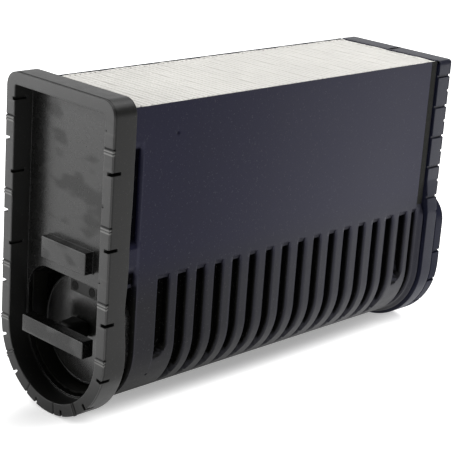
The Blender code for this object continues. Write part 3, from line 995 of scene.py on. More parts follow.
        # Painted light on the front face: highlights on the marks' ridges, shade in their furrows, paler
        # beside slits.
        painted_light = self.light_paint(places, profile, highlit, outer + inner)
        profile = profile + self.witness_marks(places, profile, marks, cuts)
        profile = profile + self.back_edge(places, profile)
        profile[..., 0] += self.insert.front
        points = carried(outline, places, profile)
        rim = Patch().grid(points, around_rows=True, around_columns=True, painted_light=painted_light).build("moulded_rim")
        shop.dress(rim, Slot.FRAME, "front_rim")

    def below(self, places: Array, mark: float) -> Array:
        """How far each place lies below a mark, going down the mark's own side."""
        return (places - mark) * (1.0 if mark < self.outline.length / 2 else -1.0)

    def witness_marks(self, places: Array, profile: Array, marks: list[float], cuts: list[float]) -> Array:
        """Two low ridges under a furrow across the front face at each mark, and a furrow alone at each cut.

        The ridges run over the face's outer edge, where they stand proud of the side as small nubs.

        Args:
            places: where the profile is set, N of them.
            profile: (x, inset), N by M by 2.
            marks: places of the marks.
            cuts: places of the single furrows.

        Returns:
            What to add to the profile.
        """
        near_front = smooth(profile[..., 0], 5.0 * MM, 1.0 * MM)
        on_outside = smooth(profile[..., 1], 1.2 * MM, 0.0) * smooth(profile[..., 0], 3.6 * MM, 1.4 * MM)
        ridge = sum(humps(self.below(places, mark), self.ridges) for mark in marks)
        furrow = sum(humps(self.below(places, mark), self.furrows) for mark in marks)
        furrow = furrow + sum(humps(places - cut, self.cut) for cut in cuts)
        shift = np.zeros_like(profile)
        shift[..., 0] = (0.4 * MM * furrow - 0.42 * MM * ridge)[:, None] * near_front
        shift[..., 1] = (0.35 * MM * furrow - 0.6 * MM * ridge)[:, None] * on_outside
        return shift

    def light_paint(self, places: Array, profile: Array, marks: list[float], slits: list[float]) -> Array:
        """Where light is painted on the rim: painted highlights on the marks' ridges, paler a little beside
        slits, painted shade in the furrows.

        Args:
            places: where the profile is set, N of them.
            profile: (x, inset), N by M by 2.
            marks: places of the marks that get painted highlights and shade.
            slits: places of the slits.

        Returns:
            The painted light, N by M.
        """
        near_front = smooth(profile[..., 0], 4.0 * MM, 1.5 * MM) * (profile[..., 1] < self.wall - 0.5 * MM)
        total = self.slit_paleness * sum(bell(np.abs(places - place), self.slit, 0.7 * MM) for place in slits)
        total = total + sum(humps(self.below(places, mark), self.light_humps) for mark in marks)
        return np.clip(total, -1.0, 1.0)[:, None] * near_front

    def back_edge(self, places: Array, profile: Array) -> Array:
        """The back edge wanders by up to 3 mm along the side, as a hand-trimmed moulding does.

        Args:
            places: where the profile is set, N of them.
            profile: (x, inset), N by M by 2.

        Returns:
            What to add to the profile.
        """
        below = self.insert.top - self.outline.points(places)[0][:, 1]
        pull = humps(below, self.pulls) * MM + 0.25 * MM * wavy(places * 60.0, 5)
        at_back = smooth(profile[..., 0], self.depth - 7.0 * MM, self.depth - 0.5 * MM)
        at_back = at_back * (profile[..., 1] < 3.0 * MM)
        shift = np.zeros_like(profile)
        shift[..., 0] = -np.maximum(pull, 0.0)[:, None] * at_back
        return shift


# ---------------------------------------------------------------- front plate, cup and bars
@dataclass(frozen=True)
class FrontPlate:
    """The recessed plate and the finger cup in one pan: columns run from the cup's floor to the plate's edge.

    The wall, the edge and the cup are divided into the same counts of places, so that columns join them.
    """

    insert: Insert
    edge: Outline
    wall: Outline
    cup: Outline
    face: float
    back: float
    floor: float
    cove: float = 0.3 * MM
    lip: float = 0.3 * MM
    of_land: float = 0.42
    floor_fillet: float = 0.5 * MM
    cup_wall: float = 2.0 * MM
    cup_chamfer: float = 1.5 * MM
    draft: float = 0.8 * MM
    counts: tuple[int, ...] = (12, 4, 6, 12, 10, 6, 30)
    first: float = 45.0 * MM
    levels: Pair = (150.0 * MM, 102.0 * MM)
    corner_shares: tuple[float, ...] = (0.06, 0.12, 0.42, 1.0)

    @classmethod
    def read(cls, insert: Insert) -> "FrontPlate":
        """Reads the plate's and the cup's sizes from their packed boxes.

        Args:
            insert: the main places.

        Returns:
            The plate.
        """
        low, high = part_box("front_plate")
        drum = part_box("cup_drum")[1]
        cup = Outline(drum.y + 7.5 * MM, insert.axis + 55.0 * MM, 27.0 * MM, insert.axis)
        wall = Outline(insert.half - 12.05 * MM, insert.top - 13.05 * MM, 3.0 * MM, insert.axis)
        edge = Outline(high.y, high.z, 3.7 * MM, insert.axis)
        return cls(insert, edge, wall, cup, low.x, low.x + 3.0 * MM, drum.x + 0.3 * MM)

    def matched(self, outline: Outline, ends: list[float]) -> Array:
        """Places down the near half of an outline, and then up the far half.

        Args:
            outline: the outline.
            ends: where the spans of the near half end; each is divided evenly into its count.

        Returns:
            The places.
        """
        spans = zip([0.0, *ends], ends, self.counts)
        half = np.concatenate([np.linspace(start, end, count, endpoint=False) for start, end, count in spans])
        whole = np.concatenate([half, [outline.length / 2]])
        return np.concatenate([whole, outline.length - whole[-2:0:-1]])

    def plate_points(self, outline: Outline) -> Array:
        """Points of the wall or the edge, whose spans end on the top, round the corner and at two levels.

        Args:
            outline: the wall or the edge.

        Returns:
            (y, z) of each place.
        """
        flat, turned, side = np.cumsum(outline.parts)[:3]
        levels = [outline.at_height(level) for level in self.levels]
        ends = [self.first, flat, turned, *levels, side, outline.length / 2]
        return outline.points(self.matched(outline, ends))[0]

    def cup_points(self) -> tuple[Array, Array]:
        """Points and normals of the cup's edge, its corner divided to face the wall's top corner and side.

        Returns:
            Two arrays of (y, z).
        """
        flat, turn = self.cup.parts[:2]
        corner = [flat + turn * share for share in self.corner_shares]
        ends = [flat, *corner, self.cup.parts[:3].sum(), self.cup.length / 2]
        return self.cup.points(self.matched(self.cup, ends))

    def rows(self) -> Array:
        """Points of every column, from the middle of the cup's floor outwards and round to its back.

        The cove is a quarter circle against the wall, the lip a quarter circle into the cup; both shrink
        where the land between is narrow.

        Returns:
            Columns by points by 3.
        """
        wall, edge = self.plate_points(self.wall), self.plate_points(self.edge)
        cup, normal = self.cup_points()
        reach = np.linalg.norm(wall - cup, axis=1)[:, None]
        land = np.minimum(self.wall.half - np.abs(cup[:, :1]), reach)
        cove, lip = np.minimum(self.cove, self.of_land * land), np.minimum(self.lip, self.of_land * land)
        straight = np.where(np.abs(wall[:, :1]) > self.wall.half - 0.01 * MM, land, reach)
        lines = []

        def add(x: Array | float, yz: Array) -> None:
            """Adds the next point of every column."""
            lines.append(np.concatenate([np.broadcast_to(x, (len(yz), 1)), yz], axis=1))

        centre = np.broadcast_to([[0.0, self.insert.axis]], cup.shape)
        quarter = np.linspace(0.0, math.pi / 2, 7)
        foot = self.floor - self.floor_fillet
        inner = cup - normal * (self.draft + self.floor_fillet)
        for share in (0.0, 0.5):
            add(self.floor, centre + (inner - centre) * share)
        for angle in quarter:
            inset = self.draft + self.floor_fillet * (1 - math.sin(angle))
            add(foot + self.floor_fillet * math.cos(angle), cup - normal * inset)
        for share in (0.35, 0.7):
            add(foot - (foot - self.face) * share, cup - normal * self.draft * (1 - share))
        for angle in quarter:
            add(self.face + lip * (1 - math.sin(angle)), cup + normal * lip * (1 - math.cos(angle)))
        start = cup + normal * lip
        to_cove = 1.0 - cove / straight
        for share in np.linspace(0.0, 1.0, 12)[1:-1]:
            add(self.face, start + (wall - start) * to_cove * share)
        for angle in quarter:
            share = to_cove + (1.0 - to_cove) * math.sin(angle)
            add(self.face - cove * (1 - math.cos(angle)), start + (wall - start) * share)
        below = self.floor + self.cup_wall
        outside = cup + normal * self.cup_wall
        add(self.face, wall)
        add(self.face, edge)
        add(self.back, edge)
        add(self.back, outside)
        add(below - self.cup_chamfer, outside)
        add(below, outside - normal * self.cup_chamfer)
        add(below, centre)
        return np.stack(lines, axis=1)

    def build(self, shop: Workshop) -> None:
        """Makes the pan."""
        pan = Patch().grid(self.rows(), around_rows=True).build("recessed_plate", 50.0)
        shop.dress(pan, Slot.FRONT, "front_plate")


@dataclass(frozen=True)
class FrontFittings:
    """The drum in the cup with its date marks, and the bars that stand in front.

    A disc's profile is (x in mm from its foot, share of its radius).
    """

    insert: Insert
    bar_radius: float = 0.9 * MM
    bar_drop: float = 1.0 * MM
    grip_low: Triple = (0.0, 1.0, -0.4)
    grip_high: Triple = (0.0, -1.0, -1.9)
    pad_margin: float = 0.6 * MM
    pad_height: float = 0.7 * MM
    pad_radius: float = 0.35 * MM
    lip_width: float = 1.6 * MM
    lip_height: float = 0.5 * MM
    lip_slope: float = 0.1 * MM
    drum_radii: tuple[float, ...] = (0.1, 0.3, 0.12, 0.1, 0.1, 0.1)
    mark_radius: float = 4.5 * MM
    mark_height: float = 40.0 * MM
    mark_apart: float = 12.0 * MM
    mark_stand: float = 0.35 * MM
    mark_low: Pair = (2.0 * MM, 1.6 * MM)
    mark_high: float = 1.2 * MM
    disc: tuple[Pair, ...] = (
        (0.3, 0.0),
        (0.3, 1.0),
        (-0.35, 1.0),
        (-0.35, 0.8),
        (-0.1, 0.74),
        (-0.1, 0.3),
        (-0.35, 0.26),
        (-0.35, 0.0),
    )
    pillar_tip: float = 8.0 / 14.0
    pillar_radius: float = 4.6 * MM
    pillar_curve: float = 1.6

    def build(self, shop: Workshop) -> None:
        """Makes the drum, its marks, the pillar and both bars.

        Args:
            shop: dresses them.
        """
        self.drum(shop)
        self.marks(shop)
        low, high = self.bar
        shop.dress(soft_box("locating_block", low, high, self.bar_radius), Slot.FRONT, "locating_bar")
        low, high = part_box("grip_bar")
        low, high = low + Vector(self.grip_low) * MM, high + Vector(self.grip_high) * MM
        shop.dress(soft_box("grip_block", low, high, self.bar_radius), Slot.FRONT, "grip_bar")
        self.pad(shop)
        self.pillar(shop)

    @property
    def bar(self) -> tuple[Vector, Vector]:
        """The locating bar's box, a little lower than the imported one.

        Returns:
            Its lowest and highest corners.
        """
        low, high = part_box("locating_bar")
        drop = Vector((0.0, 0.0, self.bar_drop))
        return low - drop, high - drop

    def pad(self, shop: Workshop) -> None:
        """A low step round the foot of the locating bar.

        Args:
            shop: dresses it.
        """
        low, high = self.bar
        margin = Vector((0.0, self.pad_margin, self.pad_margin))
        foot = Vector((high.x - self.pad_height, low.y, low.z)) - margin
        head = Vector((high.x + 0.5 * MM, high.y, high.z)) + margin
        shop.dress(soft_box("locating_pad", foot, head, self.pad_radius), Slot.FRONT)

    def drum(self, shop: Workshop) -> None:
        """A turned drum whose rim stands a little proud of its face.

        Args:
            shop: dresses it.
        """
        low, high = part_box("cup_drum")
        radius, sunk = high.y, low.x + self.lip_height
        lip = radius - self.lip_width
        corners = [(high.x, 0.0), (high.x, radius), (low.x, radius), (low.x, lip)]
        corners += [(sunk, lip - self.lip_slope), (sunk, 0.0)]
        profile = rounded(corners, [reach * MM for reach in self.drum_radii], closed=False)
        drum = lathe("turned_drum", profile, (0.0, self.insert.axis), 160)
        shop.dress(drum, Slot.FRONT, "cup_drum", finish=Mark.DRUM)

    def marks(self, shop: Workshop) -> None:
        """Two date discs on a shallow pad, high on the drum's face.

        Args:
            shop: dresses them.
        """
        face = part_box("cup_drum")[0].x + self.lip_height
        front, radius = face - self.mark_stand, self.mark_radius
        height, reach = self.insert.axis + self.mark_height, self.mark_apart + radius + self.mark_low[0]
        low = Vector((front, -reach, height - radius - self.mark_low[1]))
        high = Vector((face + 0.2 * MM, reach, height + radius + self.mark_high))
        shop.dress(soft_box("date_pad", low, high, 0.25 * MM), Slot.FRONT, finish=Mark.PAD)
        corners = [(front + step * MM, radius * share) for step, share in self.disc]
        profile = rounded(corners, [0.08 * MM] * len(corners), 4, closed=False)
        for number, side in enumerate((-1.0, 1.0)):
            disc = lathe(f"date_disc_{number + 1}", profile, (side * self.mark_apart, height), 40)
            shop.dress(disc, Slot.FRONT, finish=Mark.DISC)

    def pillar(self, shop: Workshop) -> None:
        """The pillar widens towards the drum: y grows by the share of its length to a power.

        Args:
            shop: dresses it.
        """
        low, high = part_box("grip_pillar")
        tip = high.y * self.pillar_tip
        box = Vector((low.x, -tip, low.z)), Vector((high.x, tip, high.z))
        pillar = soft_box("grip_stem", *box, self.pillar_radius)
        points = np.empty(len(pillar.data.vertices) * 3, np.float32)
        pillar.data.vertices.foreach_get("co", points)
        points = points.reshape(-1, 3)
        share = (points[:, 0] - low.x) / (high.x - low.x)
        points[:, 1] *= 1.0 + (1.0 / self.pillar_tip - 1.0) * share**self.pillar_curve
        pillar.data.vertices.foreach_set("co", points.ravel())
        shop.dress(pillar, Slot.FRONT, "grip_pillar", finish=Mark.DISC)


# ---------------------------------------------------------------- housing
@dataclass(frozen=True)
class Housing:
    """The trough: a U-shaped wall whose recesses are pressed in by a formula of x and the place round the U.

    Heights named foot or top are above the round bottom's axis, but pocket_top is below the insert's top.  A
    gate is (x behind the rim's face, height, radius); on the round bottom its height sets its angle.
    """

    insert: Insert
    front: float
    rear: float
    wall: float = 2.0 * MM
    first: float = 70.7 * MM
    width: float = 11.5 * MM
    rib: float = 11.44 * MM
    last_width: float = 6.0 * MM
    count: int = 17
    depth: float = 8.0 * MM
    front_widen: tuple[float, ...] = (4.2 * MM, 2.2 * MM, 1.2 * MM, 0.6 * MM)
    rear_widen: tuple[float, ...] = (4.0 * MM, 2.6 * MM, 1.4 * MM)
    far_widen: float = 1.3 * MM
    near_round: float = 0.9 * MM
    far_round: float = 2.1 * MM
    of_width: float = 0.3
    groove_top: float = 67.0 * MM
    ramp: float = 7.0 * MM
    facet: float = 0.32
    end_angle: float = 50.0
    short_angle: float = 14.0
    end_fade: float = 24.0
    end_narrow: float = 0.85
    dot_angle: float = 62.0
    dot_offset: float = 2.0 * MM
    dot_radius: float = 1.1 * MM
    dot_depth: float = 0.9 * MM
    gates: tuple[Triple, ...] = (
        (66.0 * MM, 42.0 * MM, 1.7 * MM),
        (82.0 * MM, 272.0 * MM, 1.9 * MM),
    )
    gate_angle: float = 28.5
    gate_depth: float = 1.2 * MM
    pocket_depth: float = 4.5 * MM
    pocket_length: float = 18.0 * MM
    pocket_chamfer: float = 2.6 * MM
    pocket_bevel: float = 1.7 * MM
    pocket_foot: float = 98.0 * MM
    pocket_top: float = 42.0 * MM
    pocket_slope: float = 8.0 * MM
    low_pocket_depth: float = 9.0 * MM
    low_pocket_top: float = 81.0 * MM
    pack_foot: float = 60.0 * MM
    thinnest: float = 0.5 * MM
    strip_length: float = 9.0 * MM
    strip_depth: float = 1.0 * MM
    strip_foot: float = 71.0 * MM
    lip_depth: float = 0.5 * MM
    flare: float = 3.4 * MM
    flare_length: float = 6.0 * MM
    # Painted highlight along the grooves' nearer edges, and how strong the painted shade in deep recesses is.
    edge_highlight: float = 0.3
    painted_shade: float = 0.8

    @classmethod
    def read(cls, insert: Insert) -> "Housing":
        """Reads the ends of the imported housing."""
        low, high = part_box("housing")
        return cls(insert, low.x, high.x)

    @property
    def outline(self) -> Outline:
        """The outside of the U, closed across its open top by an unused flat."""
        return Outline(self.insert.housing_half, self.insert.housing_top, 0.01 * MM, self.insert.axis)

    def grooves(self) -> list[tuple[int, float, float]]:
        """The grooves; those near either end start sooner, so the ribs there are slim.

        Returns:
            Number, start and end of each.
        """
        start = self.insert.front + self.first
        widths = [self.width + self.far_widen] * (self.count - 1) + [self.last_width]
        early = dict(enumerate(self.front_widen))
        early |= {self.count - 1 - i: more for i, more in enumerate(self.rear_widen)}
        lefts = [start + i * (self.width + self.rib) for i in range(self.count)]
        return [(i, left - early.get(i, 0.0), left + widths[i]) for i, left in enumerate(lefts)]

    def far_edge(self, left: float, right: float) -> float:
        """How wide the round of a groove's far side is."""
        return min(self.far_round, self.of_width * (right - left))

    def grooved(self, x: Array, height: Array, angle: Array, margin: float) -> Array:
        """Depth of the grooves and of the dot below each.

        A groove is round towards both sides of x, times a faceted ramp at its upper end and a smooth step at
        its lower end, where it also narrows.

        Args:
            x: 1 by N.
            height: M by 1.
            angle: M by 1.
            margin: widens each groove along x.

        Returns:
            The depth, M by N.
        """
        total = np.zeros((height.shape[0], x.shape[1]))
        above = (self.insert.axis + self.groove_top - height) / self.ramp
        upper_end = np.interp(above, [0.0, 0.1, 0.65, 1.0], [0.0, 0.12, self.facet, 1.0])
        for number, left, right in self.grooves():
            end = self.short_angle if number in (0, self.count - 2) else self.end_angle
            fade = min(self.end_fade, end)
            narrow = np.clip((angle - end + fade) / fade, 0.0, 1.0) ** 2 * self.end_narrow * (right - left)
            rise = rounding((x - left + margin) / self.near_round)
            fall = rounding((right + margin - narrow - x) / self.far_edge(left, right))
            along = upper_end * smooth(angle, end, end - 0.6 * fade)
            total = np.maximum(total, self.depth * rise * fall * along)
            around = np.radians(angle - self.dot_angle) * self.insert.housing_half
            dot = self.dimple(x - left - self.dot_offset, around, self.dot_radius, self.dot_depth)
            total = np.maximum(total, dot)
        return total

    def dimple(self, along: Array, around: Array, radius: float, depth: float) -> Array:
        """A round dimple: a smooth step of the distance from its middle."""
        return depth * smooth(np.hypot(along, around), radius, 0.4 * radius)

    def pocketed(self, x: Array, height: Array, margin: float) -> Array:
        """Depth of the pockets behind the rim: a straight bevel, then a steep wall, deeper below the paper.

        Args:
            x: 1 by N.
            height: M by 1.
            margin: lengthens each pocket.

        Returns:
            The depth, M by N.
        """
        axis, steep = self.insert.axis, self.pocket_bevel / self.pocket_depth
        inside = self.front + self.pocket_length + margin - x
        across = np.interp(inside, [0.0, self.pocket_bevel, self.pocket_chamfer], [0.0, steep, 1.0])
        low_top = axis + self.low_pocket_top
        share = plateau(height, axis + self.pocket_foot, self.insert.top - self.pocket_top, self.pocket_slope)
        share = np.maximum(share, smooth(height, low_top, low_top - self.pocket_slope))
        deepen = smooth(height, axis + self.pack_foot + 4.0 * MM, axis + self.pack_foot)
        return (self.pocket_depth + (self.low_pocket_depth - self.pocket_depth) * deepen) * across * share

    def recess(self, x: Array, height: Array, angle: Array, margin: float) -> Array:
        """How deep the wall is pressed in: the most of grooves, pockets, gates and the strips' shallow step.

        Args:
            x: rows of x, as a 1 by N array.
            height: height of each place, as an M by 1 array.
            angle: angle of each place on the round bottom, as an M by 1 array.
            margin: widens each recess along x, for the inner surface.

        Returns:
            The depth, M by N.
        """
        axis, half = self.insert.axis, self.insert.housing_half
        total = np.maximum(self.grooved(x, height, angle, margin), self.pocketed(x, height, margin))
        around = np.where(angle > 0.0, -np.radians(angle) * half, height - axis)
        for along_x, level, radius in self.gates:
            rise = level - axis
            rise = rise if rise > 0.0 else half * math.asin(rise / half)
            along = x - self.insert.front - along_x
            total = np.maximum(total, self.dimple(along, around - rise, radius, self.gate_depth))
        strip = (x > self.rear - self.strip_length) * (height > axis + self.strip_foot) * self.strip_depth
        return np.maximum(total, strip if margin == 0.0 else 0.0)

    def highlit(self, x: Array, height: Array, angle: Array) -> Array:
        """Where highlights are painted pale on the trough: on the pockets' bevels and thinly along each
        groove's nearer edge.

        Args:
            x: 1 by N.
            height: M by 1.
            angle: M by 1.

        Returns:
            The painted highlights, M by N.
        """
        bevel = bell(x, self.front + self.pocket_length - 0.5 * self.pocket_bevel, 0.6 * self.pocket_bevel)
        pocket_top = self.insert.top - self.pocket_top
        total = 0.5 * bevel * smooth(height, pocket_top + 4.0 * MM, pocket_top) * smooth(angle, 30.0, 10.0)
        top = self.insert.axis + self.groove_top
        beside = smooth(height, top + 1.0 * MM, top - 2.0 * MM) * smooth(angle, 40.0, 10.0)
        return total + self.edge_highlight * beside * sum(bell(x, left, 0.7 * MM) for _, left, _ in self.grooves())

    def columns(self) -> Array:
        """Places along x: an even spacing, refined where a recess starts or ends.

        Returns:
            The places.
        """
        pocket_end, across_gate = self.front + self.pocket_length, np.linspace(-1.8, 1.8, 9) * MM
        breaks = [pocket_end, pocket_end - self.pocket_bevel, pocket_end - self.pocket_chamfer]
        for along_x, _, _ in self.gates:
            breaks += list(self.insert.front + along_x + across_gate)
        breaks += list(self.rear - self.flare_length * np.linspace(0.0, 1.0, 6))
        breaks += [self.rear - self.strip_length - 0.05 * MM, self.rear - self.strip_length]
        for _, left, right in self.grooves():
            breaks += list(left + self.near_round * np.array([0.0, 0.4, 0.7, 0.9, 1.0]))
            breaks += list(left + self.dot_radius * np.array([1.0, 1.4, 1.82, 2.24, 2.6]))
            shares = np.array([0.0, 0.3, 0.55, 0.75, 0.88, 0.96, 1.0])
            breaks += list(right - self.far_edge(left, right) * shares)
        return stations((self.front, self.rear), 3.0 * MM, breaks, [0.0])

    def places(self) -> Array:
        """Places round the U from edge to edge, refined where a recess starts or ends.

        Returns:
            The places.
        """
        axis, outline = self.insert.axis, self.outline
        shares = (0.0, 0.05, 0.1, 0.4, 0.62, 0.66, 0.85, 1.0)
        levels = [axis + self.groove_top - self.ramp * share for share in shares]
        levels += [self.insert.top - self.pocket_top - step * MM for step in (0, 3, 6)]
        levels += [axis + self.pocket_foot + step * MM for step in (0, 2, 5, 8)]
        levels += [axis + self.low_pocket_top - step * MM for step in (0, 4, 8)]
        levels += [self.gates[1][1] + 0.45 * MM * step for step in range(-4, 5)]
        levels += [self.insert.housing_top - self.lip_depth, axis + self.strip_foot]
        angles = [*np.linspace(24.0, 60.0, 19), *range(1, 17)]
        angles += [self.gate_angle + 0.4 * step for step in range(-4, 5)]
        angles += [self.dot_angle + step for step in (-0.9, -0.5, 0.0, 0.5, 0.9)]
        features = [outline.at_height(level) for level in levels]
        features += [outline.at_angle(float(angle)) for angle in angles]
        features += [outline.mirrored(place) for place in features]
        first = outline.at_height(self.insert.housing_top)
        return stations((first, outline.mirrored(first)), 6.5 * MM, features, [0.0])

    def build(self, shop: Workshop) -> None:
        """Makes the trough: point = outline - normal * depth, for the outside and for the inside.

        Args:
            shop: dresses it.
        """
        outline, places, axis, edge = self.outline, self.places(), self.insert.axis, self.insert.housing_top
        base, normal = outline.points(places)
        near = np.minimum(places, outline.length - places)
        angle = np.degrees(np.maximum(near - outline.parts[:3].sum(), 0.0) / outline.half)[:, None]
        height = np.where(angle > 0.0, axis, base[:, 1:])
        x = self.columns()[None, :]
        outer = self.recess(x, height, angle, 0.0) + self.lip_depth * (height > edge - 0.4 * MM)
        low_down = smooth(height, axis + 70.0 * MM, axis + 58.0 * MM)
        outer = outer - self.flare * smooth(x, self.rear - self.flare_length, self.rear) * low_down
        inner = self.recess(x, height, angle, self.wall) + self.wall
        beside_pack = (x < self.front + self.pocket_length + self.wall) & (height > axis + self.pack_foot)
        inner = np.where(beside_pack, np.minimum(inner, self.pocket_depth + self.thinnest), inner)
        surfaces = []
        for inset in (outer, inner):
            yz = base[:, None, :] - normal[:, None, :] * inset[..., None]
            surfaces.append(np.concatenate([np.broadcast_to(x[..., None], (*inset.shape, 1)), yz], axis=2))
        # Painted shade in the recesses, from 1.5 mm deep and full from 4 mm, and painted highlights on bevels
        # and groove edges.
        shaded_hollows = smooth(outer, 1.5 * MM, 4.0 * MM) * (height < edge - 1.0 * MM)
        painted_light = self.highlit(x, height, angle) - self.painted_shade * shaded_hollows
        trough = Patch().slab(*surfaces, painted_light=painted_light).build("trough", 40.0)
        shop.dress(trough, Slot.HOUSING, "housing")


# ---------------------------------------------------------------- paper and beads
@dataclass(frozen=True)
class Bead:
    """A laid bead: a rounded section swept along an axis, its top and sides sinking by smooth random amounts.

    The waves are radians a millimetre.
    """

    name: str
    node: str
    slot: Slot
    along: int
    seed: int
    wobble: float
    radius: float
    spacing: float = 4.0 * MM
    top_waves: float = 0.11
    side_waves: float = 0.2

    def build(self, shop: Workshop, lift: float = 0.0) -> None:
        """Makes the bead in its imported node's box.

        Args:
            shop: dresses it.
            lift: how much higher than the box it is.
        """
        low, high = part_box(self.node)
        high = high + Vector((0.0, 0.0, lift))
        across, up = [axis for axis in range(3) if axis != self.along]
        size = np.array(high) - np.array(low)
        count = max(12, int(size[self.along] / self.spacing))
        radius = min(self.radius, size[across] / 2.1, size[up] / 2.1)
        corners = [(0.0, 0.0), (size[across], 0.0), (size[across], size[up]), (0.0, size[up])]
        section = rounded(corners, [radius] * 4, 6)
        place = np.linspace(0.0, size[self.along], count)[:, None]
        sink = self.wobble * (0.5 + 0.5 * wavy(place / MM * self.top_waves, self.seed))
        ripple = 0.3 * sink * (1.0 - wavy(place / MM * self.side_waves, self.seed + 1))
        sideways = np.where(section[:, 0][None, :] > size[across] / 2, 1.0, -1.0)
        points = np.zeros((count, len(section), 3))
        points[..., self.along] = low[self.along] + place
        points[..., across] = low[across] + section[:, 0][None, :] - sideways * ripple
        rise = section[:, 1][None, :]
        points[..., up] = low[up] + rise - sink * smooth(rise / size[up], 0.6, 1.0)
        bead = Patch().grid(points, around_columns=True).fan(points[0]).fan(points[-1]).build(self.name, 50.0)
        shop.dress(bead, self.slot, self.node)


@dataclass(frozen=True)
class PaperPack:
    """The folded paper and the sealant that holds it on four sides."""

    beads: tuple[Bead, ...] = (
        Bead("near_bead", "pack_edge_near", Slot.SEALANT, 0, 11, 0.7 * MM, 0.8 * MM),
        Bead("far_bead", "pack_edge_far", Slot.SEALANT, 0, 12, 0.7 * MM, 0.8 * MM),
        Bead("front_potting", "potting_front", Slot.SEALANT, 1, 21, 0.8 * MM, 0.9 * MM),
        Bead("rear_potting", "potting_rear", Slot.SEALANT, 1, 22, 0.8 * MM, 0.9 * MM),
    )
    pleats: int = 67
    paper: float = 0.6 * MM
    tip: float = 1.85 * MM
    lift: float = 2.2 * MM
    lean: float = 0.35 * MM
    dip: float = 0.45 * MM

    def build(self, shop: Workshop) -> None:
        """Makes the pleats and the four beads, all brought up to just under the trough's edge.

        Args:
            shop: dresses them.
        """
        self.pack(shop)
        for bead in self.beads:
            bead.build(shop, self.lift)

    def pleat(self, pitch: float, height: float) -> Array:
        """One pleat's middle line from valley to valley: round valley, flank, round tip and the same again.

        Args:
            pitch: its length along X.
            height: from valley to tip.

        Returns:
            (x, z) of its points.
        """
        turn = np.linspace(-math.pi / 2, math.pi / 2, 7)
        tip = np.stack([self.tip * np.sin(turn), self.tip * (np.cos(turn) - 1.0)], axis=1)
        valley = np.stack([self.tip * np.sin(turn[3:]), self.tip * (1.0 - np.cos(turn[3:]))], axis=1)
        start, end = np.array([self.tip, self.tip]), np.array([pitch / 2 - self.tip, height - self.tip])
        rising = start + (end - start) * np.linspace(0.14, 0.86, 4)[:, None]
        falling = rising[::-1] * [-1.0, 1.0] + [pitch, 0.0]
        closing = (valley * [-1.0, 1.0])[:0:-1] + [pitch, 0.0]
        return np.concatenate([valley, rising, tip + [pitch / 2, height], falling, closing])

    def pack(self, shop: Workshop) -> None:
        """The zigzag: each fold is a narrow round tip, and tips lean and dip a little along their length.

        Args:
            shop: dresses it.
        """
        low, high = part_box("pleat_pack")
        high = high + Vector((0.0, 0.0, self.lift))
        length, half = high.x - low.x, self.paper / 2
        height = high.z - low.z - self.paper
        one = self.pleat(length / self.pleats, height)
        number = np.repeat(np.arange(self.pleats), len(one))
        start = np.stack([number * (length / self.pleats), np.zeros(len(number))], axis=1)
        line = np.tile(one, (self.pleats, 1)) + start
        slope = np.gradient(line, axis=0)
        slope = slope / np.maximum(np.linalg.norm(slope, axis=1, keepdims=True), TINY)
        normal = np.stack([-slope[:, 1], slope[:, 0]], axis=1)
        y = np.linspace(low.y, high.y, 26)
        near_top = smooth(line[:, 1], height * 0.55, height)[:, None]
        lean = self.lean * wavy(y[None, :] / MM * 0.05 + number[:, None] * 1.7, 3) * near_top
        dip = self.dip * (0.5 + 0.5 * wavy(y[None, :] / MM * 0.035 + number[:, None] * 2.3, 4)) * near_top
        sheets = []
        for side in (1.0, -1.0):
            at = np.clip(line + normal * half * side + [0.0, half], 0.0, [length, height + self.paper])
            points = np.zeros((len(line), len(y), 3))
            points[..., 0] = np.clip(low.x + at[:, :1] + lean, low.x, high.x)
            points[..., 1] = y[None, :]
            points[..., 2] = np.maximum(low.z + at[:, 1:] - dip, low.z)
            sheets.append(points)
        paper = Patch().slab(*sheets).build("pleated_paper", 70.0)
        shop.dress(paper, Slot.PAPER, "pleat_pack")


